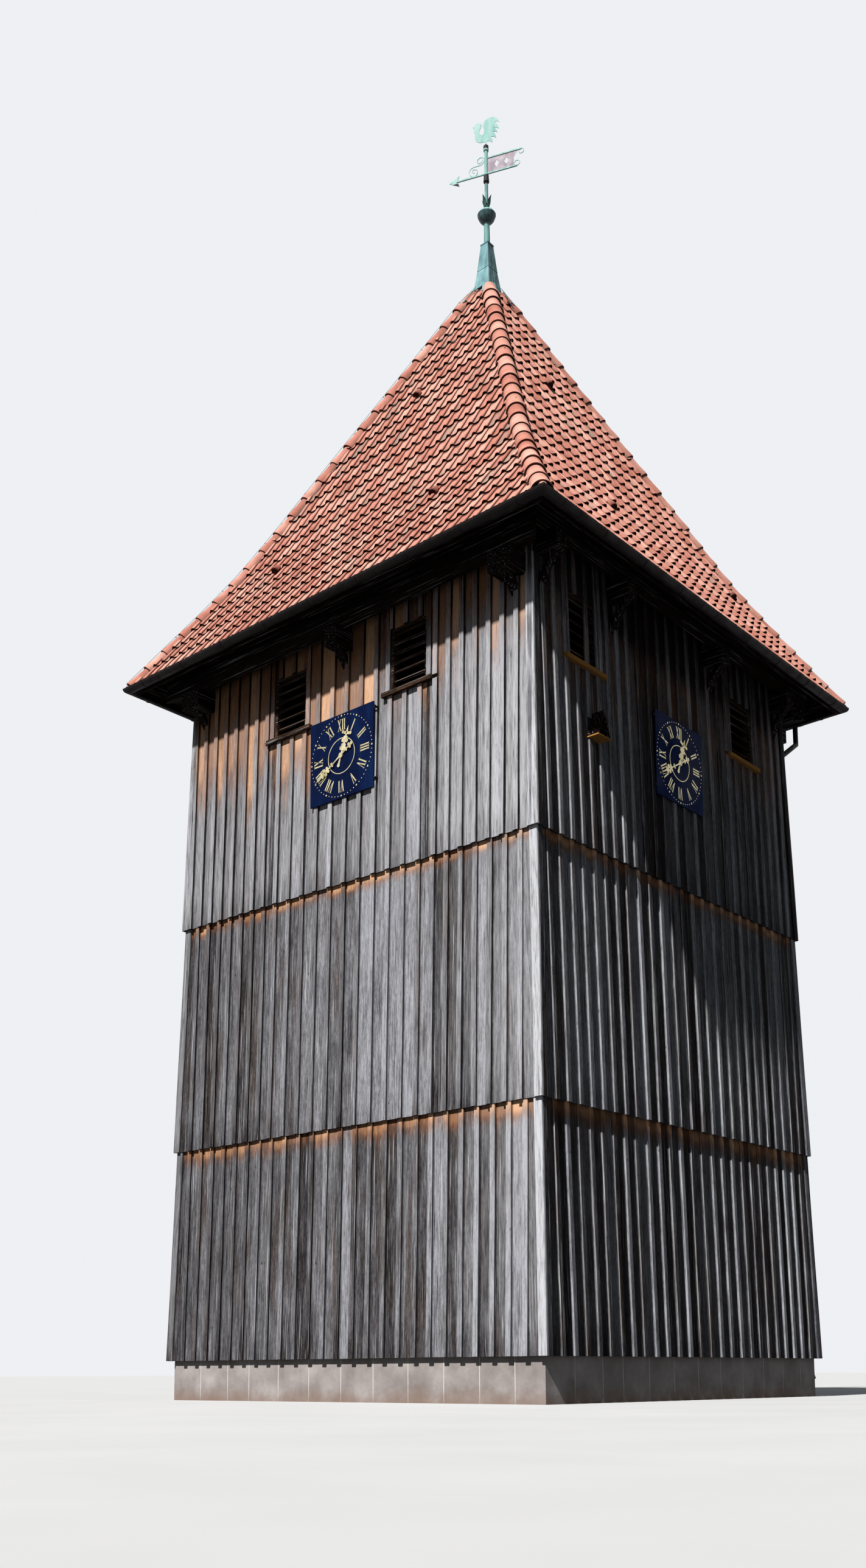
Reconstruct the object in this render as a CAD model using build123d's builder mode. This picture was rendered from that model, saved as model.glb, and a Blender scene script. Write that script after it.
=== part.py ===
"""Wooden clock tower: a battered, board-clad tower of three tiers on a square masonry plinth, with a
bell-cast tiled roof, two dials and a turning weather vane. Millimetres, +Z up, front towards -Y, origin at
the centre of the base."""

import os
from math import atan2, cos, degrees, hypot, radians, sin, sqrt, tan

from build123d import *

os.makedirs("parts", exist_ok=True)

# Driving sizes: plinth
plinth_half = 3300.0
plinth_height = 600.0
plinth_wall = 450.0

# Driving sizes: walls. The batter is the lean inwards for each unit of height.
batter = 0.0245
board = 22.0
batten = 18.0
frame = 160.0
plinth_gap = 35.0
plinth_lap = 46.0
middle_foot_z = 3564.0
upper_foot_z = 6903.0
skirt_lap = 120.0
step_out = 40.0

# Driving sizes: roof. The overhang runs from the upper tier's boards to the foot of the tiles.
roof_foot_z = 10720.0
overhang = 704.0
kink_half = 2750.0
kink_rise = 1742.0
roof_rise = 6920.0
roof_top_half = 121.0
roof_thick = 150.0
roof_blend = 12000.0
fascia_thick = 30.0
fascia_set_in = 46.0
fascia_deep = 120.0
hip_radius = 137.0
hip_sink = 48.0
hip_sides = 14
hip_gap = 90.0
tile_course = 357.0
tile_overhang = 45.0
tile_tail = 24.0
tile_head = 3.0
copper_gap = 15.0

# Driving sizes: gutter and downpipe
gutter_drop = 28.0
gutter_radius = 75.0
gutter_sheet = 4.0
gutter_bead = 9.0
pipe_radius = 40.0
pipe_sheet = 3.0
pipe_inset = 88.0
pipe_gap = 12.0
pipe_drop = 290.0
pipe_neck = 430.0
pipe_foot_z = 260.0
shoe_rise = 300.0
shoe_reach = 220.0

# Driving sizes: eaves timber. Drops are measured down from the foot of the roof.
beam_reach = 340.0
beam_tenon = 57.0
beam_deep = 260.0
beam_wide = 220.0
corner_beam_wide = 370.0
lower_beam_drop = 500.0
upper_beam_drop = 240.0
lower_corner_in = 252.0
left_corner_in = 176.0
right_corner_in = 267.0
middle_beams_at = (-1440.0, 993.0)
purlin_set_in = 17.0
purlin_wide = 180.0
brace_wide = 120.0
brace_thick = 85.0
brace_head = 300.0
brace_hollow = 26.0
lower_brace_rise = 230.0
upper_brace_rise = 420.0

# Driving sizes: louvres and the floor behind them
louvre_drop = 1373.0
louvre_wide = 640.0
louvre_high = 921.0
louvres_front_at = (-1093.0, 1165.0)
louvres_side_at = (-2156.0, 1898.0)
louvre_frame = 38.0
louvre_deep = 130.0
slat_count = 6
slat_first = 120.0
slat_pitch = 137.0
slat_thick = 25.0
slat_deep = 145.0
slat_tilt = 42.0
slat_housing = 12.0
slat_set_in = 12.0
sill_wide = 886.0
sill_thick = 60.0
sill_reach = 70.0
sill_tongue = 19.0
floor_below_louvres = 147.0
floor_thick = 50.0

# Driving sizes: dials
dial_drop = 2017.0
dial_side = 1200.0
dial_stand = 33.0
dial_thick = 20.0
dial_bore = 12.5
dial_stud = 60.0
dial_stud_at = 520.0

# Driving sizes: hands. An edge is half widths and distances from the arbor, from the tail to the tip, and
# each lobe is a round leaf on both edges: half spacing, distance and radius.
arbor_radius = 8.0
arbor_tail = 10.0
pipe_clear = 0.3
hour_pipe_radius = 12.0
hand_sheet = 4.0
hand_gap = 6.0
hour_angle = 20.0
minute_angle = 240.0
minute_hub = 38.0
minute_edge = ((14, -230), (10, -60), (17, 0), (10, 70), (9, 250), (30, 330), (12, 450), (0, 578))
minute_lobes = ((20, -120, 15), (27, -190, 20), (0, -235, 26), (20, 190, 17), (32, 285, 21), (38, 345, 27),
                (27, 405, 22))
minute_pierced = (12, 345, 20)
hour_hub = 42.0
hour_edge = ((20, -125), (12, -50), (18, 0), (14, 60), (30, 120), (16, 175), (28, 220), (14, 270), (16, 350),
             (0, 418))
hour_lobes = ((0, -140, 26), (34, 98, 30), (24, 145, 22), (34, 208, 30), (22, 252, 19), (72, 318, 24),
              (34, 312, 22))
hour_pierced = (14, 316, 20)

# Driving sizes: nesting box
nest_at = -2010.0
nest_drop = 2340.0
nest_half = 140.0
nest_rise = 370.0
nest_reach = 185.0
nest_board = 18.0

# Driving sizes: copper obelisk, shaft, ball and crown, each height counted from the piece below
cone_lap = 38.0
cone_seam_half = 113.0
cone_seam_rise = 352.0
cone_top_half = 70.0
cone_rise = 820.0
cone_cap = 14.0
post_half = 45.0
post_deep = 230.0
shaft_foot_radius = 51.0
shaft_top_radius = 46.0
ball_rise = 538.0
ball_radius = 146.0
ball_bowl = 150.0
ball_dome = 100.0
ball_rim = 6.0
ball_steps = 5
pole_radius = 29.0
crown_sleeve = 70.0
crown_sheet = 8.0
crown_rise = 230.0
crown_spread = 104.0
leaf_sheet = 5.0
leaf_wide = 74.0
pole_rise = 603.0
pole_collar_radius = 47.5
pole_collar_rise = 43.0

# Driving sizes: weather vane. The heading is the way that the arrow points.
heading_x = -0.93
heading_y = -0.367
pin_radius = 15.0
vane_rise = 612.0
tube_radius = 30.0
collar_radius = 42.5
foot_collar_rise = 78.0
head_collar_rise = 86.0
neck_radius = 20.0
neck_rise = 26.0
rod = 22.0
arrow_rise = 111.0
arrow_reach = 637.0
arrow_head = 177.0
arrow_notch = 145.0
arrow_wide = 192.0
arrow_sheet = 8.0
pennant_rise = 395.0
pennant_top = 536.0
pennant_foot = 468.0
pennant_step = 108.0
pennant_sheet = 5.0
pennant_cuts_at = (-345.0, -180.0)
pennant_cut_wide = 80.0
pennant_cut_high = 130.0
top_curl_at = 597.0
top_curl = 42.0
foot_curl_at = 524.0
foot_curl = 46.0
curl_turn = 290.0
scroll_at = 209.0
scroll_large = 84.0
scroll_inner = 62.0
scroll_heart = 30.0
scroll_bend = 80.0
scroll_small = 60.0
scroll_small_inner = 42.0
scroll_band = 10.0
scroll_sheet = 10.0
rooster_sheet = 8.0

# How finely round work is laid in flat facets
round_sides = 16
lobe_sides = 10
band_step = 30.0
bow_steps = 4

# Clearance between pieces that are set into each other
fit = 0.3

# Worked out from the driving sizes
sides = {"front": 0.0, "right": 90.0, "back": 180.0, "left": 270.0}
wall_thick = board + frame
lower_foot_half = plinth_half + plinth_gap + board
lower_foot_z = plinth_height - plinth_lap
middle_joint_z = middle_foot_z + skirt_lap
upper_joint_z = upper_foot_z + skirt_lap
middle_foot_half = lower_foot_half - batter * (middle_foot_z - lower_foot_z) + step_out
upper_foot_half = middle_foot_half - batter * (upper_foot_z - middle_foot_z) + step_out


def save(piece, label):
    """Names a finished piece and writes its file."""
    piece.label = label
    export_step(piece, f"parts/{label}.step")


def save_turned(piece, name, side):
    """Writes a piece made for the front, turned to one of the four sides."""
    with BuildPart() as turned:
        add(piece, rotation=(0, 0, sides[side]))
    save(turned.part, f"{name}_{side}")


def save_four(piece, name):
    """Writes a piece made for the front, turned to each of the four sides."""
    for side in sides:
        save_turned(piece, name, side)


def corner_cut():
    """Mitres the piece being built on the two vertical planes through the tower's corners."""
    split(bisect_by=Plane((0, 0, 0), z_dir=(1, 1, 0)), keep=Keep.BOTTOM)
    split(bisect_by=Plane((0, 0, 0), z_dir=(-1, 1, 0)), keep=Keep.BOTTOM)


def bowed(start, middle, end):
    """Points along the arc through three points."""
    arc = Edge.make_three_point_arc(Vector(*start), Vector(*middle), Vector(*end))
    stations = [arc @ (step / bow_steps) for step in range(bow_steps + 1)]
    return [(station.X, station.Y) for station in stations]


def frustum(low, high):
    """A many-sided frustum with flat faces between two radii, each with its height."""
    rings = [
        [Vector(radius, 0, z).rotate(Axis.Z, 360 * step / round_sides) for step in range(round_sides)]
        for radius, z in (low, high)
    ]
    faces = [Face(Wire.make_polygon(ring)) for ring in rings]
    for step in range(round_sides):
        corners = (rings[0][step - 1], rings[0][step], rings[1][step], rings[1][step - 1])
        faces.append(Face(Wire.make_polygon(corners)))
    return Solid(Shell(faces))


def turned(line):
    """A many-sided body through radii and heights in rising order."""
    with BuildPart() as body:
        for low, high in zip(line, line[1:]):
            if high[1] > low[1]:
                add(frustum(low, high))
    return body.part


def upper_face(z):
    """Half width of the upper tier's boards at a height."""
    return upper_foot_half - batter * (z - upper_foot_z)


def upper_wall_plane(x, z):
    """A plane on the front of the upper tier, its own Z pointing outwards."""
    return Plane((x, -upper_face(z), z), x_dir=(1, 0, 0), z_dir=(0, -1, batter))


# Roof slopes, which the walls and the eaves timber run up to
roof_foot_half = upper_face(roof_foot_z) + overhang
roof_top_z = roof_foot_z + roof_rise
kink_z = roof_foot_z + kink_rise
lower_slope = (roof_foot_half - kink_half) / kink_rise
upper_slope = (kink_half - roof_top_half) / (roof_rise - kink_rise)
lower_shift = roof_thick * sqrt(1 + lower_slope**2)
upper_shift = roof_thick * sqrt(1 + upper_slope**2)
under_kink_rise = (upper_shift - lower_shift) / (lower_slope - upper_slope)
under_kink_half = kink_half - lower_shift - lower_slope * under_kink_rise
under_kink_z = kink_z + under_kink_rise


def under_roof(half):
    """Height of the lower slope's underside at a half width."""
    return under_kink_z - (half - under_kink_half) / lower_slope


wall_reach = upper_foot_half + batter * upper_foot_z + 2 * fit
wall_top_z = (under_kink_half + lower_slope * under_kink_z - wall_reach) / (lower_slope - batter)

# Plinth: four mitred masonry walls
with BuildPart() as plinth:
    with BuildSketch(Plane.YZ):
        with Locations((-plinth_half, 0)):
            Rectangle(plinth_wall, plinth_height, align=(Align.MIN, Align.MIN))
    extrude(amount=plinth_half, both=True)
    corner_cut()
save_four(plinth.part, "plinth")


def tier_wall(foot_half, foot_z, joint_z, top_z):
    """One front wall: boards over a frame, the boards lapping below the frame as a skirt."""

    def face(z):
        return foot_half - batter * (z - foot_z)

    with BuildPart() as wall:
        with BuildSketch(Plane.YZ):
            with BuildLine():
                Polyline(
                    (-face(foot_z), foot_z),
                    (-face(top_z), top_z),
                    (-face(top_z) + wall_thick, top_z),
                    (-face(joint_z) + wall_thick, joint_z),
                    (-face(joint_z) + board, joint_z),
                    (-face(foot_z) + board, foot_z),
                    close=True,
                )
            make_face()
        extrude(amount=foot_half, both=True)
        corner_cut()
    return wall.part


save_four(tier_wall(lower_foot_half, lower_foot_z, plinth_height, middle_joint_z), "lower_wall")
save_four(tier_wall(middle_foot_half, middle_foot_z, middle_joint_z, upper_joint_z), "middle_wall")

# Places of the beam ends, as a person facing a wall of that pair sees them
lower_beam_z = roof_foot_z - lower_beam_drop
upper_beam_z = roof_foot_z - upper_beam_drop
lower_corner_at = upper_face(lower_beam_z) - lower_corner_in
lower_beams_at = (
    (-lower_corner_at, corner_beam_wide),
    (0.0, beam_wide),
    (lower_corner_at, corner_beam_wide),
)
upper_beams_at = (
    (left_corner_in - upper_face(upper_beam_z), beam_wide),
    *((place, beam_wide) for place in middle_beams_at),
    (upper_face(upper_beam_z) - right_corner_in, beam_wide),
)


def beam_ends(beams_at, beam_z):
    """The beam ends of the front or of another side, tenoned into its wall."""
    middle_z = beam_z + beam_deep / 2
    root = upper_face(beam_z + beam_deep) - beam_tenon
    with BuildPart() as ends:
        for x, wide in beams_at:
            with BuildSketch(Plane((x, -root, middle_z), x_dir=(1, 0, 0), z_dir=(0, -1, 0))):
                Rectangle(wide, beam_deep)
        extrude(amount=upper_face(middle_z) + beam_reach - root)
    return ends.part


louvre_foot_z = roof_foot_z - louvre_drop
louvre_z = louvre_foot_z + louvre_high / 2


def upper_wall(louvres_at, beams_at, beam_z):
    """A wall of the upper tier with its sound openings and the pockets that hold the beam ends."""
    with BuildPart() as wall:
        add(tier_wall(upper_foot_half, upper_foot_z, upper_joint_z, wall_top_z))
        for x in louvres_at:
            with BuildSketch(upper_wall_plane(x, louvre_z)):
                Rectangle(louvre_wide, louvre_high)
            extrude(amount=wall_thick * 2, both=True, mode=Mode.SUBTRACT)
        add(beam_ends(beams_at, beam_z), mode=Mode.SUBTRACT)
    return wall.part


def louvre_unit(x):
    """A framed louvre that fills one sound opening, with a projecting sill."""
    inner_wide = louvre_wide - 2 * louvre_frame
    inner_high = louvre_high - 2 * louvre_frame
    sill_top = sill_tongue - louvre_high / 2
    tilt = radians(slat_tilt)
    lift = slat_deep / 2 * sin(tilt)
    into = slat_set_in + slat_deep / 2 * cos(tilt)
    with BuildPart(upper_wall_plane(x, louvre_z)) as slats:
        for number in range(slat_count):
            with Locations((0, sill_top + slat_first + slat_pitch * number + lift, -into)):
                Box(inner_wide + 2 * slat_housing, slat_thick, slat_deep, rotation=(slat_tilt, 0, 0))
        with Locations((0, 0, -louvre_deep / 2)):
            Box(louvre_wide, inner_high + 2 * slat_housing, louvre_deep, mode=Mode.INTERSECT)
    with BuildPart(upper_wall_plane(x, louvre_z)) as unit:
        with BuildSketch(upper_wall_plane(x, louvre_z)):
            Rectangle(louvre_wide - 2 * fit, louvre_high - 2 * fit)
            Rectangle(inner_wide, inner_high, mode=Mode.SUBTRACT)
        extrude(amount=-louvre_deep)
        with Locations((0, sill_top - sill_thick / 2, fit)):
            Box(sill_wide, sill_thick, sill_reach, align=(Align.CENTER, Align.CENTER, Align.MIN))
        with Locations((0, sill_top - sill_tongue / 2, 0)):
            Box(inner_wide, sill_tongue - 2 * fit, 4 * fit)
    with BuildPart() as framed:
        add(unit.part)
        add(slats.part)
    return framed.part


for pair, places, beams, beam_z in (
    (("front", "back"), louvres_front_at, lower_beams_at, lower_beam_z),
    (("right", "left"), louvres_side_at, upper_beams_at, upper_beam_z),
):
    with BuildPart() as louvres:
        for place in places:
            add(louvre_unit(place))
    for side in pair:
        save_turned(upper_wall(places, beams, beam_z), "upper_wall", side)
        save_turned(louvres.part, "louvres", side)

# Floor of the sound chamber, let in between the four frames
floor_z = louvre_foot_z - floor_below_louvres
chamber_half = upper_face(floor_z) - wall_thick - fit
with BuildPart() as chamber_floor:
    with BuildSketch(Plane.XY.offset(floor_z - floor_thick)):
        Rectangle(2 * chamber_half, 2 * chamber_half)
    extrude(amount=floor_thick)
save(chamber_floor.part, "chamber_floor")


# Beam ends with the curved knee braces under them
def knee_brace(x, beam_z, rise):
    """A curved brace from the wall up to the underside of a beam end."""
    foot_z = beam_z - rise
    foot = Vector(-upper_face(foot_z), foot_z)
    foot_top = Vector(-upper_face(foot_z + brace_thick), foot_z + brace_thick)
    head_out = Vector(-upper_face(beam_z) - brace_head, beam_z)
    head_in = head_out + Vector(brace_thick, 0)
    hollow = Vector(brace_hollow, brace_hollow)
    under = bowed(foot, (foot + head_out) / 2 + hollow, head_out)
    over = bowed(head_in, (head_in + foot_top) / 2 + hollow, foot_top)
    with BuildPart() as brace:
        with BuildSketch(Plane.YZ.offset(x)):
            Polygon(*under, *over, align=None)
        extrude(amount=brace_wide / 2, both=True)
    return brace.part


with BuildPart() as lower_beams:
    for side in ("front", "back"):
        add(beam_ends(lower_beams_at, lower_beam_z), rotation=(0, 0, sides[side]))
save(lower_beams.part, "lower_beams")

with BuildPart() as upper_beams:
    for side in ("right", "left"):
        add(beam_ends(upper_beams_at, upper_beam_z), rotation=(0, 0, sides[side]))
save(upper_beams.part, "upper_beams")

with BuildPart() as knee_braces:
    for side in ("front", "back"):
        for x, wide in lower_beams_at:
            add(knee_brace(x, lower_beam_z, lower_brace_rise), rotation=(0, 0, sides[side]))
    for side in ("right", "left"):
        for x, wide in upper_beams_at:
            add(knee_brace(x, upper_beam_z, upper_brace_rise), rotation=(0, 0, sides[side]))
save(knee_braces.part, "knee_braces")


# Roof: a bell-cast pyramid of four mitred slabs. The bend between its slopes is laid in short flat courses.
def up_line(line, distance, out):
    """A point some way up a line of half widths and heights, standing off it to the outside."""
    left = distance
    for low, high in zip(line, line[1:]):
        run = hypot(high[0] - low[0], high[1] - low[1])
        if left <= run or high == line[-1]:
            across, rise = (high[0] - low[0]) / run, (high[1] - low[1]) / run
            return low[0] + across * left + rise * out, low[1] + rise * left - across * out
        left -= run


def bent_slope(foot, kink, top, radius):
    """Points up a slope that bends round a kink, from half widths and heights."""
    down = (Vector(*foot) - Vector(*kink)).normalized()
    upward = (Vector(*top) - Vector(*kink)).normalized()
    half_turn = radians(180 - down.get_angle(upward)) / 2
    tangent = radius * tan(half_turn)
    middle = Vector(*kink) + (down + upward).normalized() * (radius / cos(half_turn) - radius)
    bend = (Vector(*kink) + down * tangent, middle, Vector(*kink) + upward * tangent)
    return [foot, *((point.X, point.Y) for point in bend), top]


def coursed(line, reach):
    """The line laid in courses whose lower edges stand off the ones below, as far up as the reach."""
    count = round((reach + tile_overhang) / tile_course)
    step = (reach + tile_overhang) / count
    points = [up_line(line, -tile_overhang, 0)]
    for number in range(count):
        start = step * number - tile_overhang
        points += [up_line(line, start, tile_tail), up_line(line, start + step, tile_head)]
    return [*points, up_line(line, reach, 0)]


post_hole = post_half + fit
fascia_out = roof_foot_half - fascia_set_in
under_foot_half = roof_foot_half - lower_shift
under_top_z = under_kink_z + (under_kink_half - post_hole) / upper_slope
tiled_line = bent_slope(
    (roof_foot_half, roof_foot_z), (kink_half, kink_z), (roof_top_half, roof_top_z), roof_blend
)
under_line = bent_slope(
    (under_foot_half, roof_foot_z),
    (under_kink_half, under_kink_z),
    (post_hole, under_top_z),
    roof_blend + roof_thick,
)
slope_length = sum(hypot(b[0] - a[0], b[1] - a[1]) for a, b in zip(tiled_line, tiled_line[1:]))
bare_top = (cone_lap + copper_gap) * sqrt(1 + 1 / upper_slope**2)
course_line = [*coursed(tiled_line, slope_length - bare_top), tiled_line[-1]]
with BuildPart() as roof:
    with BuildSketch(Plane.YZ):
        with BuildLine():
            Polyline(
                (-roof_foot_half, roof_foot_z),
                *((-half, z) for half, z in course_line),
                (-post_hole, roof_top_z),
                *((-half, z) for half, z in reversed(under_line)),
                (-fascia_out + fascia_thick, roof_foot_z),
                (-fascia_out + fascia_thick, roof_foot_z - fascia_deep),
                (-fascia_out, roof_foot_z - fascia_deep),
                (-fascia_out, roof_foot_z),
                close=True,
            )
        make_face()
    extrude(amount=roof_foot_half + hip_radius, both=True)
    corner_cut()
save_four(roof.part, "roof")

# The whole roof as one mass, to seat the hip tiles on
with BuildPart() as roof_mass:
    for plane, mode in ((Plane.YZ, Mode.ADD), (Plane.XZ, Mode.INTERSECT)):
        with BuildSketch(plane):
            with BuildLine():
                Polyline(
                    *((-half, z) for half, z in course_line),
                    *((half, z) for half, z in reversed(course_line)),
                    close=True,
                )
            make_face()
        extrude(amount=roof_foot_half + hip_radius, both=True, mode=mode)

# Hip tiles: one half-round covering along each hip, bedded on the two slopes beside it
hip_plane = Plane((0, 0, 0), x_dir=(1, -1, 0), z_dir=(-1, -1, 0))
hip_top = (roof_top_half + upper_slope * hip_gap, roof_top_z - hip_gap)
with BuildPart() as hip_cover:
    with BuildLine(hip_plane) as hip_line:
        Polyline(*((half * sqrt(2) - hip_sink, z) for half, z in (*tiled_line[:-1], hip_top)))
    with BuildSketch(Plane(hip_line.line @ 0, z_dir=hip_line.line % 0)):
        RegularPolygon(hip_radius, hip_sides)
    sweep(transition=Transition.RIGHT)
    add(roof_mass.part, mode=Mode.SUBTRACT)
    split(bisect_by=Plane.XY.offset(roof_foot_z), keep=Keep.TOP)
with BuildPart() as hip_tiles:
    for turn in sides.values():
        add(hip_cover.part, rotation=(0, 0, turn))
save(hip_tiles.part, "hip_tiles")

# Purlins that lie on the beam ends and carry the rafters' feet
for pair, beam_z in ((("front", "back"), lower_beam_z), (("right", "left"), upper_beam_z)):
    purlin_out = upper_face(beam_z + beam_deep / 2) + beam_reach - purlin_set_in
    purlin_in = purlin_out - purlin_wide
    with BuildPart() as purlin:
        with BuildSketch(Plane.YZ):
            with BuildLine():
                Polyline(
                    (-purlin_out, beam_z + beam_deep),
                    (-purlin_out, under_roof(purlin_out)),
                    (-purlin_in, under_roof(purlin_in)),
                    (-purlin_in, beam_z + beam_deep),
                    close=True,
                )
            make_face()
        extrude(amount=purlin_out, both=True)
        corner_cut()
    for side in pair:
        save_turned(purlin.part, "purlin", side)

# Gutters: half-round, beaded on the outer lip, mitred at the corners
gutter_half = fascia_out + gutter_radius
gutter_lip_z = roof_foot_z - gutter_drop
with BuildPart() as gutter:
    with BuildSketch(Plane.YZ):
        with Locations((-gutter_half, gutter_lip_z)):
            RegularPolygon(gutter_radius, round_sides)
            RegularPolygon(gutter_radius - gutter_sheet, round_sides, mode=Mode.SUBTRACT)
            Rectangle(
                2 * gutter_radius, gutter_radius, align=(Align.CENTER, Align.MIN), mode=Mode.SUBTRACT
            )
        with Locations((-gutter_half - gutter_radius + gutter_bead, gutter_lip_z)):
            RegularPolygon(gutter_bead, round_sides // 2)
    extrude(amount=gutter_half + gutter_radius, both=True)
    corner_cut()
save_four(gutter.part, "gutter")

# Downpipe from the back gutter, with mitred elbows: a swan neck to the wall and a shoe at its foot
pipe_x = upper_face(roof_foot_z) - pipe_inset
pipe_top_z = gutter_lip_z - gutter_radius
neck_top_z = pipe_top_z - pipe_drop
neck_foot_z = neck_top_z - pipe_neck
pipe_stand = batten + pipe_gap + pipe_radius
pipe_corners = (
    (gutter_half, pipe_top_z),
    (gutter_half, neck_top_z),
    (upper_face(neck_foot_z) + pipe_stand + step_out, neck_foot_z),
    (lower_foot_half + pipe_stand, pipe_foot_z + shoe_rise),
    (lower_foot_half + pipe_stand + shoe_reach, pipe_foot_z),
)
with BuildPart() as downpipe:
    with BuildLine(Plane.YZ.offset(pipe_x)) as pipe_line:
        Polyline(*pipe_corners)
    with BuildSketch(Plane(pipe_line.line @ 0, z_dir=pipe_line.line % 0)):
        RegularPolygon(pipe_radius, round_sides)
        RegularPolygon(pipe_radius - pipe_sheet, round_sides, mode=Mode.SUBTRACT)
    sweep(transition=Transition.RIGHT)
save(downpipe.part, "downpipe")

# Dials: vertical plates that stand off the battered wall on four studs
dial_z = roof_foot_z - dial_drop
dial_face = upper_face(dial_z - dial_side / 2) + dial_stand + dial_thick
dial_plane = Plane((0, -dial_face, dial_z), x_dir=(1, 0, 0), z_dir=(0, -1, 0))
with BuildPart() as dial:
    with BuildSketch(dial_plane):
        Rectangle(dial_side, dial_side)
        Circle(dial_bore, mode=Mode.SUBTRACT)
    extrude(amount=-dial_thick)
    with BuildSketch(dial_plane.offset(-dial_thick)):
        with GridLocations(2 * dial_stud_at, 2 * dial_stud_at, 2, 2):
            Rectangle(dial_stud, dial_stud)
    extrude(amount=-dial_side / 4)
    split(bisect_by=upper_wall_plane(0, dial_z), keep=Keep.TOP)


def hand_outline(edge, lobes, hub, pierced):
    """The cut sheet of a hand that points at twelve, with its leaves and its pierced lozenge."""
    with BuildSketch() as outline:
        Polygon(*edge, *((-x, y) for x, y in reversed(edge) if x), align=None)
        RegularPolygon(hub, round_sides)
        for x, y, radius in lobes:
            with Locations((x, y), (-x, y)):
                RegularPolygon(radius, lobe_sides)
        half, y, rise = pierced
        Polygon((half, y), (0, y + rise), (-half, y), (0, y - rise), align=None, mode=Mode.SUBTRACT)
    return outline.sketch


def minute_hand():
    """The long hand with its arbor, pointing at twelve."""
    back = hand_gap * 2 + hand_sheet
    with BuildPart() as hand:
        with BuildSketch(dial_plane.offset(back)):
            add(hand_outline(minute_edge, minute_lobes, minute_hub, minute_pierced))
        extrude(amount=hand_sheet)
        with BuildSketch(dial_plane.offset(back + hand_sheet)):
            Circle(arbor_radius)
        extrude(amount=-(back + hand_sheet + dial_thick + arbor_tail))
    return hand.part


def hour_hand():
    """The short hand with its pipe round the arbor, pointing at twelve."""
    with BuildPart() as hand:
        with BuildSketch(dial_plane.offset(hand_gap)):
            add(hand_outline(hour_edge, hour_lobes, hour_hub, hour_pierced))
        extrude(amount=hand_sheet)
        with BuildSketch(dial_plane.offset(hand_gap + hand_sheet)):
            Circle(hour_pipe_radius)
        extrude(amount=-(hand_gap + hand_sheet + dial_thick + arbor_tail / 2))
        with BuildSketch(dial_plane.offset(hand_gap + hand_sheet)):
            Circle(arbor_radius + pipe_clear)
        extrude(amount=-(hand_gap + hand_sheet + dial_thick + arbor_tail), mode=Mode.SUBTRACT)
    return hand.part


dial_axis = Axis(dial_plane.origin, dial_plane.z_dir)
for side in ("front", "right"):
    save_turned(dial.part, "dial", side)
    save_turned(minute_hand().rotate(dial_axis, -minute_angle), "minute_hand", side)
    save_turned(hour_hand().rotate(dial_axis, -hour_angle), "hour_hand", side)

# Nesting box on the right wall: two sloping boards on a shelf, open at the front
nest_foot_z = roof_foot_z - nest_drop
nest_tip = upper_face(nest_foot_z) + nest_reach
nest_side_in = nest_board * hypot(nest_half, nest_rise) / nest_rise
nest_inner_half = nest_half * (1 - nest_board / nest_rise) - nest_side_in
nest_inner_top = nest_rise * (1 - nest_side_in / nest_half)
with BuildPart() as nest_box:
    with BuildSketch(Plane((nest_at, -nest_tip, nest_foot_z), x_dir=(1, 0, 0), z_dir=(0, -1, 0))):
        Polygon((-nest_half, 0), (nest_half, 0), (0, nest_rise), align=None)
        Polygon(
            (-nest_inner_half, nest_board),
            (nest_inner_half, nest_board),
            (0, nest_inner_top),
            align=None,
            mode=Mode.SUBTRACT,
        )
    extrude(amount=-2 * nest_reach)
    split(bisect_by=upper_wall_plane(0, nest_foot_z), keep=Keep.TOP)
with BuildPart() as hung_box:
    add(nest_box.part, rotation=(0, 0, sides["right"]))
save(hung_box.part, "nest_box")

# Copper obelisk over the roof's apex, on a square post let into the roof
cone_foot_half = roof_top_half + cone_lap
cone_seam_z = roof_top_z + cone_seam_rise
cone_top_z = roof_top_z + cone_rise
with BuildPart() as copper_cone:
    for foot_half, foot_z, top_half, top_z in (
        (cone_foot_half, roof_top_z, cone_seam_half, cone_seam_z),
        (cone_seam_half, cone_seam_z, cone_top_half, cone_top_z),
    ):
        with BuildSketch(Plane.XY.offset(foot_z)):
            Rectangle(2 * foot_half, 2 * foot_half)
        extrude(amount=top_z - foot_z, taper=degrees(atan2(foot_half - top_half, top_z - foot_z)))
    with BuildSketch(Plane.XY.offset(cone_top_z)):
        Rectangle(2 * cone_top_half + cone_cap, 2 * cone_top_half + cone_cap)
    extrude(amount=-cone_cap)
    with BuildSketch(Plane.XY.offset(roof_top_z)):
        Rectangle(2 * post_half, 2 * post_half)
    extrude(amount=-post_deep)
save(copper_cone.part, "copper_cone")

# Spindle: a tapered shaft, the pole through the ball, and the pin that the vane turns on
ball_z = cone_top_z + ball_rise
shaft_top_z = ball_z - ball_bowl * sqrt(1 - (shaft_top_radius / ball_radius) ** 2)
pole_collar_z = ball_z + pole_rise
vane_foot_z = pole_collar_z + pole_collar_rise
vane_top_z = vane_foot_z + vane_rise
pin_top_z = vane_top_z - head_collar_rise
spindle_line = (
    (shaft_foot_radius, cone_top_z),
    (shaft_top_radius, shaft_top_z),
    (pole_radius, shaft_top_z),
    (pole_radius, pole_collar_z),
    (pole_collar_radius, pole_collar_z),
    (pole_collar_radius, vane_foot_z),
)
with BuildPart() as vane_spindle:
    add(turned(spindle_line))
    with BuildSketch(Plane.XY.offset(vane_foot_z)):
        Circle(pin_radius)
    extrude(amount=pin_top_z - vane_foot_z)
save(vane_spindle.part, "vane_spindle")


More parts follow.
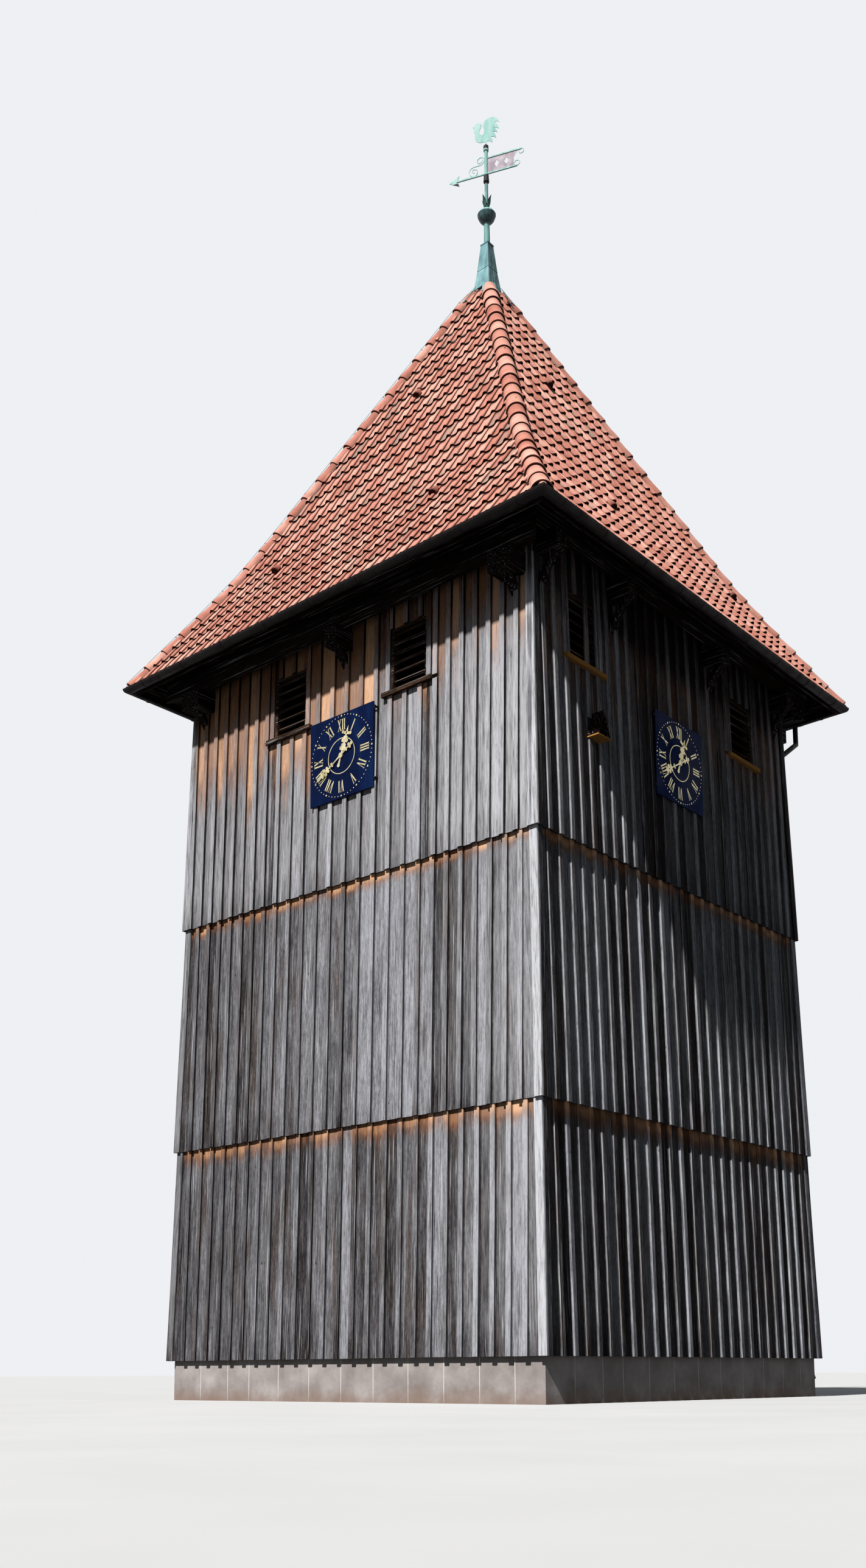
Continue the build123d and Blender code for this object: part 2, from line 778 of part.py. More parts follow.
# Ball beaten from two bowls, with a rim where they meet, threaded on the pole
def bowl_line(from_radius, height):
    """Points from near the pole out to the rim, over one bowl of the ball."""
    start = degrees(atan2(sqrt(ball_radius**2 - from_radius**2), from_radius))
    turns = (radians(start * (1 - step / ball_steps)) for step in range(ball_steps))
    return [(ball_radius * cos(turn), ball_z + height * sin(turn)) for turn in turns]


ball_line = (
    *bowl_line(shaft_top_radius, -ball_bowl),
    (ball_radius + ball_rim, ball_z - ball_rim),
    (ball_radius + ball_rim, ball_z + ball_rim),
    *reversed(bowl_line(pole_radius + fit, ball_dome)),
)
with BuildPart() as finial_ball:
    add(turned(ball_line))
    with BuildSketch(Plane.XY.offset(shaft_top_z)):
        RegularPolygon(pole_radius + fit, round_sides)
    extrude(amount=ball_bowl + ball_dome, mode=Mode.SUBTRACT)
save(finial_ball.part, "finial_ball")

# Crown of four pointed leaves on a sleeve round the pole
crown_foot_z = ball_z + ball_dome
crown_leaf_z = crown_foot_z + crown_sleeve / 2
crown_top_z = crown_foot_z + crown_rise
crown_root = pole_radius + crown_sheet + leaf_sheet / 2
crown_bulge = crown_root + (crown_spread - pole_radius) / 5
leaf_line = bowed(
    (crown_root, crown_leaf_z),
    (crown_bulge, (crown_leaf_z + crown_top_z) / 2),
    (crown_spread, crown_top_z),
)
with BuildPart() as leaf:
    with BuildSketch(Plane.XZ):
        Polygon(*leaf_line, *((x - leaf_sheet, z) for x, z in reversed(leaf_line)), align=None)
    extrude(amount=leaf_wide / 2, both=True)
    with BuildSketch(Plane.YZ):
        Polygon(
            (-leaf_wide / 4, crown_leaf_z),
            (-leaf_wide / 2, (crown_leaf_z + crown_top_z) / 2),
            (0, crown_top_z),
            (leaf_wide / 2, (crown_leaf_z + crown_top_z) / 2),
            (leaf_wide / 4, crown_leaf_z),
            align=None,
        )
    extrude(amount=crown_spread, mode=Mode.INTERSECT)
with BuildPart() as leaf_crown:
    with BuildSketch(Plane.XY.offset(crown_foot_z)):
        RegularPolygon(pole_radius + crown_sheet, round_sides)
        RegularPolygon(pole_radius + fit, round_sides, mode=Mode.SUBTRACT)
    extrude(amount=crown_sleeve)
    for turn in sides.values():
        add(leaf.part, rotation=(0, 0, turn))
save(leaf_crown.part, "leaf_crown")


def arc_band(centre, radius, start, turn):
    """A flat band that follows an arc in short straight lengths."""
    steps = round(abs(turn) / band_step)
    turns = [radians(start + turn * step / steps) for step in range(steps + 1)]

    def edge(reach):
        return [(centre[0] + reach * cos(angle), centre[1] + reach * sin(angle)) for angle in turns]

    with BuildSketch() as band:
        Polygon(*edge(radius + scroll_band / 2), *reversed(edge(radius - scroll_band / 2)), align=None)
    return band.sketch


# Weather vane: tube, arrow, scroll and the pennant's rods in one plane through the spindle
vane_x = Vector(heading_x, heading_y, 0).normalized()
vane_plane = Plane((0, 0, 0), x_dir=vane_x, z_dir=vane_x.cross(Vector(0, 0, 1)))
tube_foot_z = vane_foot_z + fit
tube_wall = (pin_radius + fit + tube_radius) / 2
arrow_z = vane_foot_z + arrow_rise
top_rod_z = vane_foot_z + pennant_rise
neck_top_z = vane_top_z + neck_rise
scroll_z = arrow_z + rod / 2 + scroll_large + scroll_band / 2 - 2 * fit
bridge_z = scroll_z + scroll_large
small_z = bridge_z + scroll_bend
small_at = tube_radius + scroll_small
bands = (
    ((scroll_at, scroll_z), scroll_large, -90, 180),
    ((scroll_at, scroll_z - scroll_large + scroll_inner), scroll_inner, -90, -180),
    ((scroll_at, scroll_z - scroll_large + 2 * scroll_inner - scroll_heart), scroll_heart, 90, -200),
    ((tube_radius + scroll_bend, small_z), scroll_bend, -90, -90),
    ((small_at, small_z), scroll_small, 180, -180),
    ((small_at + scroll_small - scroll_small_inner, small_z), scroll_small_inner, 0, -200),
    ((-top_curl_at, top_rod_z - top_curl), top_curl, 90, curl_turn),
    ((-foot_curl_at, arrow_z + foot_curl), foot_curl, -90, -curl_turn),
)
tube_line = (
    (collar_radius, tube_foot_z),
    (collar_radius, tube_foot_z + foot_collar_rise),
    (tube_radius, tube_foot_z + foot_collar_rise),
    (tube_radius, vane_top_z - head_collar_rise),
    (collar_radius, vane_top_z - head_collar_rise),
    (collar_radius, vane_top_z),
    (neck_radius, vane_top_z),
    (neck_radius, neck_top_z),
)
with BuildPart() as vane_frame:
    add(turned(tube_line))
    with BuildSketch(Plane.XY.offset(tube_foot_z)):
        Circle(pin_radius + fit)
    extrude(amount=pin_top_z - vane_foot_z, mode=Mode.SUBTRACT)
    with BuildSketch(vane_plane):
        for start, end, z in (
            (tube_wall, arrow_reach - arrow_notch + rod, arrow_z),
            (-foot_curl_at, -tube_wall, arrow_z),
            (-top_curl_at, -tube_wall, top_rod_z),
        ):
            with Locations(((start + end) / 2, z)):
                Rectangle(end - start, rod)
    extrude(amount=rod / 2, both=True)
    with BuildSketch(vane_plane):
        Polygon(
            (arrow_reach, arrow_z),
            (arrow_reach - arrow_head, arrow_z + arrow_wide / 2),
            (arrow_reach - arrow_notch, arrow_z),
            (arrow_reach - arrow_head, arrow_z - arrow_wide / 2),
            align=None,
        )
    extrude(amount=arrow_sheet / 2, both=True)
    with BuildSketch(vane_plane):
        for centre, radius, start, turn in bands:
            add(arc_band(centre, radius, start, turn))
        with Locations(((tube_radius + scroll_bend + scroll_at) / 2, bridge_z)):
            Rectangle(scroll_at - tube_radius - scroll_bend, scroll_band)
    extrude(amount=scroll_sheet / 2, both=True)
save(vane_frame.part, "vane_frame")

# Pennant plate between its two rods, its end stepped, with two pierced lozenges
pennant_foot_z = arrow_z + rod / 2
pennant_top_z = top_rod_z - rod / 2
with BuildPart() as pennant:
    with BuildSketch(vane_plane):
        Polygon(
            (-pennant_foot, pennant_foot_z),
            (-tube_radius - fit, pennant_foot_z),
            (-tube_radius - fit, pennant_top_z),
            (-pennant_top, pennant_top_z),
            (-pennant_foot, pennant_top_z - pennant_step),
            align=None,
        )
        for place in pennant_cuts_at:
            middle_z = (pennant_foot_z + pennant_top_z) / 2
            Polygon(
                (place - pennant_cut_wide / 2, middle_z),
                (place, middle_z - pennant_cut_high / 2),
                (place + pennant_cut_wide / 2, middle_z),
                (place, middle_z + pennant_cut_high / 2),
                align=None,
                mode=Mode.SUBTRACT,
            )
    extrude(amount=pennant_sheet / 2, both=True)
save(pennant.part, "pennant")


# Rooster cut from sheet, standing on the neck of the vane
def up(x, rise):
    """A point of the rooster, from its distance ahead of the spindle and its height over the neck."""
    return x, neck_top_z + rise


with BuildPart() as rooster:
    with BuildSketch(vane_plane):
        with BuildLine():
            Polyline(up(-14, 62), up(-14, 0), up(14, 0), up(20, 62), up(95, 66))
            Polyline(*bowed(up(95, 66), up(160, 110), up(188, 199)))
            Polyline(up(188, 199), up(178, 262), up(206, 296), up(194, 345), up(222, 386), up(182, 402))
            Polyline(up(182, 402), up(170, 448), up(146, 414), up(132, 452), up(112, 412), up(94, 436))
            Polyline(up(94, 436), up(90, 392), up(72, 396), up(90, 330))
            Polyline(*bowed(up(90, 330), up(104, 232), up(58, 196)))
            Polyline(*bowed(up(58, 196), up(28, 300), up(50, 350)))
            Polyline(*bowed(up(50, 350), up(6, 450), up(-104, 482)))
            Polyline(*bowed(up(-104, 482), up(-195, 432), up(-236, 338)))
            Polyline(*bowed(up(-236, 338), up(-195, 380), up(-150, 372)))
            Polyline(*bowed(up(-150, 372), up(-204, 310), up(-225, 229)))
            Polyline(*bowed(up(-225, 229), up(-180, 268), up(-138, 278)))
            Polyline(*bowed(up(-138, 278), up(-180, 236), up(-201, 168)))
            Polyline(*bowed(up(-201, 168), up(-158, 198), up(-116, 204)))
            Polyline(*bowed(up(-116, 204), up(-160, 146), up(-176, 71)))
            Polyline(*bowed(up(-176, 71), up(-128, 116), up(-84, 124)))
            Polyline(*bowed(up(-84, 124), up(-110, 72), up(-104, 12)))
            Polyline(*bowed(up(-104, 12), up(-66, 52), up(-14, 62)))
        make_face()
    extrude(amount=rooster_sheet / 2, both=True)
save(rooster.part, "rooster")
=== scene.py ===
"""Looks of a wooden clock tower: weathered boards, clay pantiles, painted clocks and a copper vane."""

import sys

import logging
import math
import random
from dataclasses import dataclass, field
from enum import Enum
from typing import NamedTuple, Sequence

import bmesh
import bpy
from mathutils import Matrix, Vector


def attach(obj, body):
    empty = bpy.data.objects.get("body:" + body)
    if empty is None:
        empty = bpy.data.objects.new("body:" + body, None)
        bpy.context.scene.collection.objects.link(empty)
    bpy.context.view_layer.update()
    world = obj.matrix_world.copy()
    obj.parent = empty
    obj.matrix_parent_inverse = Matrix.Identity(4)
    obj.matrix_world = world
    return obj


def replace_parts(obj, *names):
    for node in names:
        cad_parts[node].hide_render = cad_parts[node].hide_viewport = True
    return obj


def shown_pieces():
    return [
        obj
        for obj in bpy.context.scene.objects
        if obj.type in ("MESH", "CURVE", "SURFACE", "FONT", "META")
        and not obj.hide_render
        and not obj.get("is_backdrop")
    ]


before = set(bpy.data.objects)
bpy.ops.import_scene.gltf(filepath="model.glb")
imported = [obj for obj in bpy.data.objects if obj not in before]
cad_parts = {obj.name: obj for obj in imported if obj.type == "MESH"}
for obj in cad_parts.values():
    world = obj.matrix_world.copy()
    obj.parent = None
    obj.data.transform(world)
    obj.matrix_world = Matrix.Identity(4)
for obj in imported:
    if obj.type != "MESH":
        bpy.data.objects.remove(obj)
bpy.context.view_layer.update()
log = logging.getLogger("clock_tower")

Colour = tuple[float, float, float, float]
Socket = bpy.types.NodeSocket
Section = tuple[tuple[float, float, float], ...]


def paint(red: int, green: int, blue: int) -> Colour:
    """Turns a display colour into the linear one that a shader takes.

    Args:
        red: Red from 0 to 255.
        green: Green from 0 to 255.
        blue: Blue from 0 to 255.

    Returns:
        The linear colour with full alpha.
    """
    linear = []
    for part in (red, green, blue):
        value = part / 255
        linear.append(value / 12.92 if value <= 0.04045 else ((value + 0.055) / 1.055) ** 2.4)
    return (*linear, 1.0)


def smooth_step(low: float, high: float, value: float) -> float:
    """Rises smoothly from 0 to 1 between two values.

    Args:
        low: Where the rise starts.
        high: Where it ends.
        value: The value to judge.

    Returns:
        A share from 0 to 1.
    """
    share = min(1.0, max(0.0, (value - low) / (high - low)))
    return share * share * (3 - 2 * share)


def spaced(first: float, *runs: tuple[int, float]) -> tuple[float, ...]:
    """Places in a row whose pitch changes from run to run.

    Args:
        first: The first place.
        *runs: How many places follow, and their pitch.

    Returns:
        All places in order.
    """
    places = [first]
    for count, pitch in runs:
        places += [places[-1] + pitch * step for step in range(1, count + 1)]
    return tuple(places)


def line_length(line: Sequence[Vector]) -> float:
    """The whole length of a bent line."""
    return sum((b - a).length for a, b in zip(line, line[1:]))


def walk(line: Sequence[Vector], distance: float) -> tuple[Vector, Vector]:
    """A place on a roof line and the direction square to it.

    Args:
        line: Its corners from the foot up, as distance from the axis and height.
        distance: How far up from the foot; it may lie beyond the ends.

    Returns:
        The place, and the direction out of the roof there.
    """
    left = distance
    for low, high in zip(line, line[1:]):
        step = (high - low).length
        if left <= step or high is line[-1]:
            break
        left -= step
    course = (high - low) / step
    return low + course * left, Vector((course.y, -course.x))


class Side(Enum):
    """A side of the tower, as its turn from the front in degrees."""

    FRONT = 0
    RIGHT = 90
    BACK = 180
    LEFT = 270

    @property
    def label(self) -> str:
        """The side's name as the nodes write it."""
        return self.name.lower()

    @property
    def turn(self) -> Matrix:
        """The rotation that takes a piece made for the front to this side."""
        return Matrix.Rotation(math.radians(self.value), 4, "Z")

    @property
    def is_gable_pair(self) -> bool:
        """Whether this is the front or the back."""
        return self in (Side.FRONT, Side.BACK)


class GrainRun(Enum):
    """Where a wood finish finds the run of the grain."""

    MARKED = "marked"
    ALONG_X = "x"
    ALONG_Y = "y"
    ALONG_Z = "z"


class Spot(NamedTuple):
    """A point of a piece with what its finish reads there."""

    point: Vector
    grain: Vector
    shelter: float = 0.0
    # Darkening for dirt and for painted shade; in wood, below zero it paints bleach and painted highlight.
    dirt: float = 0.0


class Nodes:
    """A material's node tree, with short ways to add what the finishes share."""

    def __init__(self, name: str) -> None:
        """Starts an empty material.

        Args:
            name: The material's name.
        """
        self.material = bpy.data.materials.new(name)
        self.material.use_nodes = True
        self.tree = self.material.node_tree
        self.tree.nodes.clear()

    @classmethod
    def over(cls, tree: bpy.types.NodeTree) -> "Nodes":
        """Starts afresh in a tree that exists, such as the world's.

        Args:
            tree: The node tree.

        Returns:
            The helper for it.
        """
        nodes = cls.__new__(cls)
        nodes.tree = tree
        tree.nodes.clear()
        return nodes

    def seen(self) -> Socket:
        """1 for what the camera sees, also in metal and glass, else 0."""
        rays = self.add("ShaderNodeLightPath").outputs
        mirrored = self.calc("MAXIMUM", rays["Is Glossy Ray"], rays["Is Transmission Ray"])
        return self.calc("MAXIMUM", rays["Is Camera Ray"], mirrored)

    def add(self, kind: str, **settings: object) -> bpy.types.Node:
        """Adds a node and sets its own settings.

        Args:
            kind: The node's type name.
            **settings: Settings by name.

        Returns:
            The node.
        """
        node = self.tree.nodes.new(kind)
        for key, value in settings.items():
            setattr(node, key, value)
        return node

    def feed(self, socket: Socket, value: object) -> None:
        """Links a socket, or sets its value.

        Args:
            socket: The input.
            value: Another node's output, or a plain value.
        """
        if isinstance(value, bpy.types.NodeSocket):
            self.tree.links.new(value, socket)
        else:
            socket.default_value = value

    def marked(self, name: str) -> Socket:
        """The number that the mesh carries under a name."""
        return self.add("ShaderNodeAttribute", attribute_name=name).outputs["Fac"]

    def place(self, run: GrainRun) -> Socket:
        """Where a point lies, with the grain along the last axis.

        Args:
            run: Where the grain is found.

        Returns:
            A vector output.
        """
        if run is GrainRun.MARKED:
            return self.add("ShaderNodeAttribute", attribute_name="grain").outputs["Vector"]
        place = self.add("ShaderNodeTexCoord").outputs["Object"]
        if run is GrainRun.ALONG_Z:
            return place
        parts = self.add("ShaderNodeSeparateXYZ")
        self.feed(parts.inputs[0], place)
        order = {GrainRun.ALONG_X: "YZX", GrainRun.ALONG_Y: "XZY"}[run]
        joined = self.add("ShaderNodeCombineXYZ")
        for socket, axis in zip(joined.inputs, order):
            self.feed(socket, parts.outputs[axis])
        return joined.outputs[0]

    def height(self) -> Socket:
        """How high a point of the piece lies.

        Returns:
            A number output, in metres.
        """
        parts = self.add("ShaderNodeSeparateXYZ")
        self.feed(parts.inputs[0], self.place(GrainRun.ALONG_Z))
        return parts.outputs["Z"]

    def within(self, low: float, high: float) -> Socket:
        """1 between two heights of the piece, else 0.

        Args:
            low: The lower height.
            high: The upper height.

        Returns:
            A number output.
        """
        height = self.height()
        above = self.calc("GREATER_THAN", height, low)
        return self.calc("MULTIPLY", above, self.calc("LESS_THAN", height, high))

    def stretched(self, place: Socket, along: float, shift: float = 0.0) -> Socket:
        """A place drawn out along the grain.

        Args:
            place: The vector to draw out.
            along: The scale on the last axis.
            shift: Moves the pattern, so that two of them differ.

        Returns:
            A vector output.
        """
        node = self.add("ShaderNodeMapping")
        self.feed(node.inputs["Vector"], place)
        self.feed(node.inputs["Location"], (shift, shift * 0.7, shift * 1.3))
        self.feed(node.inputs["Scale"], (1.0, 1.0, along))
        return node.outputs[0]

    def noise(
        self, place: Socket, scale: float, detail: float = 4.0, rough: float = 0.55, bend: float = 0.0
    ) -> Socket:
        """Cloudy noise around a half.

        Args:
            place: Where to read it.
            scale: Waves in a metre.
            detail: Octaves.
            rough: How strong the fine octaves are.
            bend: Distortion.

        Returns:
            A number output.
        """
        node = self.add("ShaderNodeTexNoise")
        self.feed(node.inputs["Vector"], place)
        for key, value in (("Scale", scale), ("Detail", detail), ("Roughness", rough), ("Distortion", bend)):
            self.feed(node.inputs[key], value)
        return node.outputs["Fac"]

    def calc(self, operation: str, first: object, second: object = 0.0, clamp: bool = False) -> Socket:
        """A sum on two numbers.

        Args:
            operation: The operation's name.
            first: A number or an output.
            second: A number or an output.
            clamp: Whether the result is held from 0 to 1.

        Returns:
            A number output.
        """
        node = self.add("ShaderNodeMath", operation=operation, use_clamp=clamp)
        self.feed(node.inputs[0], first)
        self.feed(node.inputs[1], second)
        return node.outputs[0]

    def weighed(self, *parts: tuple[object, float], start: float = 0.0) -> Socket:
        """Adds numbers up by weight.

        Args:
            *parts: Numbers or outputs, each with its weight.
            start: What is added besides.

        Returns:
            A number output.
        """
        total: object = start
        for part, weight in parts:
            node = self.add("ShaderNodeMath", operation="MULTIPLY_ADD")
            for socket, value in zip(node.inputs, (part, weight, total)):
                self.feed(socket, value)
            total = node.outputs[0]
        return total

    def between(
        self, value: Socket, low: float, high: float, to_low: float = 0, to_high: float = 1
    ) -> Socket:
        """Maps a range smoothly to another and holds it there.

        Args:
            value: The number to map.
            low: Start of its range.
            high: End of its range.
            to_low: What the start becomes.
            to_high: What the end becomes.

        Returns:
            A number output.
        """
        node = self.add("ShaderNodeMapRange", interpolation_type="SMOOTHSTEP")
        for socket, entry in zip(node.inputs, (value, low, high, to_low, to_high)):
            self.feed(socket, entry)
        return node.outputs[0]

    def ramp(self, value: Socket, stops: Sequence[tuple[float, Colour]]) -> Socket:
        """Colours by number.

        Args:
            value: The number.
            stops: Places from 0 to 1 with their colours.

        Returns:
            A colour output.
        """
        node = self.add("ShaderNodeValToRGB")
        elements = node.color_ramp.elements
        while len(elements) < len(stops):
            elements.new(0.5)
        for element, (place, colour) in zip(elements, stops):
            element.position = place
            element.color = colour
        self.feed(node.inputs[0], value)
        return node.outputs[0]

    def mix(self, share: object, first: object, second: object, blend: str = "MIX") -> Socket:
        """Mixes two colours.

        Args:
            share: How much of the second one.
            first: The colour underneath.
            second: The colour on top.
            blend: The way they mix.

        Returns:
            A colour output.
        """
        node = self.add("ShaderNodeMix", data_type="RGBA", blend_type=blend)
        self.feed(node.inputs[0], share)
        self.feed(node.inputs[6], first)
        self.feed(node.inputs[7], second)
        return node.outputs[2]

    def bump(self, height: Socket, depth: float, strength: float) -> Socket:
        """A bumpy normal.

        Args:
            height: The relief.
            depth: How deep it is, in metres.
            strength: How much of it shows.

        Returns:
            A normal output.
        """
        node = self.add("ShaderNodeBump")
        for key, value in (("Height", height), ("Distance", depth), ("Strength", strength)):
            self.feed(node.inputs[key], value)
        return node.outputs[0]

    def surface(self, **sockets: object) -> bpy.types.Material:
        """Closes the tree with its surface shader.

        Args:
            **sockets: Values or outputs by socket name, with _ for a space.

        Returns:
            The finished material.
        """
        shader = self.add("ShaderNodeBsdfPrincipled")
        for key, value in sockets.items():
            self.feed(shader.inputs[key.replace("_", " ")], value)
        end = self.add("ShaderNodeOutputMaterial")
        self.tree.links.new(shader.outputs[0], end.inputs[0])
        return self.material


@dataclass(frozen=True)
class WeatheredWood:
    """Sawn boards gone silver grey, with warm brown where rain doesn't reach."""

    name: str
    run: GrainRun = GrainRun.MARKED
    dark: Colour = paint(52, 52, 56)
    mid: Colour = paint(112, 112, 117)
    pale: Colour = paint(184, 186, 195)
    brown: Colour = paint(116, 86, 62)
    rust: Colour = paint(104, 66, 44)
    rust_pale: Colour = paint(180, 130, 98)
    warm_dark: Colour = paint(164, 117, 84)
    warm_pale: Colour = paint(248, 192, 144)
    bleached_and_lit: Colour = paint(220, 222, 229)
    crack_and_shade: Colour = paint(16, 15, 18)
    base_shelter: float = 0.0
    bare_band: tuple[float, float] | None = None
    bare: Colour = paint(196, 142, 62)

    def material(self) -> bpy.types.Material:
        """Builds the wood's nodes.

        Returns:
            The material.
        """
        nodes = Nodes(self.name)
        place = nodes.place(self.run)
        fibre = nodes.noise(nodes.stretched(place, 0.05), 78.0, 5.0, 0.75)
        streak = nodes.noise(nodes.stretched(place, 0.07, 3.1), 38.0, 5.0, 0.7, 0.2)
        speck = nodes.noise(nodes.stretched(place, 0.3, 15.2), 46.0, 4.0, 0.7)
        patch = nodes.noise(nodes.stretched(place, 0.35, 7.7), 3.0, 3.0, 0.5)
        tone = nodes.marked("tone")
        level = nodes.weighed(
            (fibre, 0.34), (streak, 0.36), (speck, 0.26), (patch, 0.2), (tone, 0.22), start=-0.19
        )
        grey = nodes.ramp(level, ((0.36, self.dark), (0.5, self.mid), (0.68, self.pale)))
        tint = nodes.noise(nodes.stretched(place, 0.1, 12.4), 6.0, 4.0, 0.6)
        browning = nodes.weighed((tint, 1.0), (tone, -0.3))
        colour = nodes.mix(
            nodes.between(browning, 0.3, 0.56, 0.0, 0.88), grey, nodes.mix(0.75, grey, self.brown, "OVERLAY")
        )
        hairs = nodes.noise(nodes.stretched(place, 0.016, 21.7), 58.0, 4.0, 0.6, 0.15)
        colour = nodes.mix(nodes.between(hairs, 0.58, 0.68, 0.0, 0.6), colour, self.bleached_and_lit)
        checks = nodes.noise(nodes.stretched(place, 0.022, 33.1), 46.0, 3.0, 0.55, 0.3)
        colour = nodes.mix(nodes.between(checks, 0.39, 0.32, 0.0, 0.8), colour, self.crack_and_shade)
        knot_cells = nodes.add("ShaderNodeTexVoronoi")
        nodes.feed(knot_cells.inputs["Vector"], nodes.stretched(place, 0.5, 1.9))
        nodes.feed(knot_cells.inputs["Scale"], 5.2)
        picked = nodes.add("ShaderNodeSeparateColor")
        nodes.feed(picked.inputs[0], knot_cells.outputs["Color"])
        knots = nodes.calc(
            "MULTIPLY",
            nodes.between(knot_cells.outputs["Distance"], 0.085, 0.03),
            nodes.calc("GREATER_THAN", picked.outputs[0], 0.5),
        )
        colour = nodes.mix(nodes.calc("MULTIPLY", knots, 0.75), colour, self.crack_and_shade)
        warm = nodes.ramp(
            nodes.weighed((level, 0.75), (tone, 0.3)), ((0.4, self.warm_dark), (0.62, self.warm_pale))
        )
        shelter = nodes.calc("ADD", nodes.marked("shelter"), self.base_shelter)
        ragged = nodes.weighed((shelter, 1.0), (streak, 1.1), (patch, 0.7), start=-0.9)
        rusty = nodes.ramp(level, ((0.4, self.rust), (0.62, self.rust_pale)))
        warm = nodes.mix(nodes.between(shelter, 0.5, 0.85), rusty, warm)
        reach = nodes.calc("MULTIPLY", nodes.between(ragged, 0.16, 0.82), nodes.between(shelter, 0.02, 0.3))
        colour = nodes.mix(nodes.calc("MULTIPLY", reach, 0.9), colour, warm)
        # Painted shade along with real dirt: the marked darkening pulls the wood towards the near-black crack
        # colour under the eaves, on the shaded right side and beside the battens.
        dirt = nodes.marked("dirt")
        colour = nodes.mix(
            nodes.calc("MULTIPLY", nodes.calc("MAXIMUM", dirt, 0.0), 0.85, True), colour, self.crack_and_shade
        )
        # Below zero the marked darkening turns the wood silver: bleach, and painted highlight on batten
        # edges, on the right side's sunlit batten flanks and on the near corner strips.
        open_air = nodes.weighed((reach, 0.55), start=-1.0)
        bleach_and_highlight = nodes.calc("MAXIMUM", nodes.calc("MULTIPLY", dirt, open_air), 0.0)
        silver = nodes.mix(nodes.between(streak, 0.3, 0.6, 0.35, 1.0), colour, self.bleached_and_lit)
        colour = nodes.mix(nodes.calc("MINIMUM", bleach_and_highlight, 1.0), colour, silver)
        if self.bare_band is not None:
            fresh = nodes.mix(nodes.between(streak, 0.35, 0.6), self.warm_dark, self.bare)
            inside = nodes.within(*self.bare_band)
            colour = nodes.mix(nodes.calc("MULTIPLY", inside, 0.85), colour, fresh)
        relief = nodes.weighed((fibre, 0.6), (streak, 0.5), (hairs, 0.5), (knots, -0.5))
        normal = nodes.bump(relief, 0.004, 0.7)
        rough = nodes.between(fibre, 0.3, 0.7, 0.94, 0.78)
        return nodes.surface(Base_Color=colour, Roughness=rough, Normal=normal, Specular_IOR_Level=0.02)


@dataclass(frozen=True)
class FiredClay:
    """Old clay roof tiles, salmon where clean and grey where lichen has settled."""

    name: str
    deep: Colour = paint(180, 109, 92)
    mid: Colour = paint(217, 150, 133)
    pale: Colour = paint(241, 187, 170)
    lichen: Colour = paint(164, 144, 132)
    soot_and_shade: Colour = paint(40, 14, 10)

    def material(self) -> bpy.types.Material:
        """Builds the clay's nodes.

        Returns:
            The material.
        """
        nodes = Nodes(self.name)
        place = nodes.place(GrainRun.ALONG_Z)
        cloud = nodes.noise(place, 4.0, 5.0, 0.6)
        speck = nodes.noise(place, 70.0, 4.0, 0.6)
        level = nodes.weighed((nodes.marked("tone"), 0.24), (cloud, 0.5), (speck, 0.26))
        clay = nodes.ramp(level, ((0.3, self.deep), (0.5, self.mid), (0.68, self.pale)))
        spread = nodes.noise(place, 11.0, 6.0, 0.68, 0.4)
        moss = nodes.weighed((nodes.marked("shelter"), 1.0), (spread, 1.0), start=-0.5)
        colour = nodes.mix(nodes.between(moss, 0.28, 0.75, 0.0, 0.85), clay, self.lichen)
        # Painted shade with soot: the marked darkening turns the clay near black on tail faces, under tails
        # and along the rolls' edges.
        colour = nodes.mix(nodes.calc("MULTIPLY", nodes.marked("dirt"), 1.0, True), colour, self.soot_and_shade)
        normal = nodes.bump(nodes.weighed((speck, 0.5), (spread, 1.0)), 0.004, 0.6)
        rough = nodes.between(cloud, 0.3, 0.7, 0.72, 0.92)
        return nodes.surface(Base_Color=colour, Roughness=rough, Normal=normal, Specular_IOR_Level=0.12)


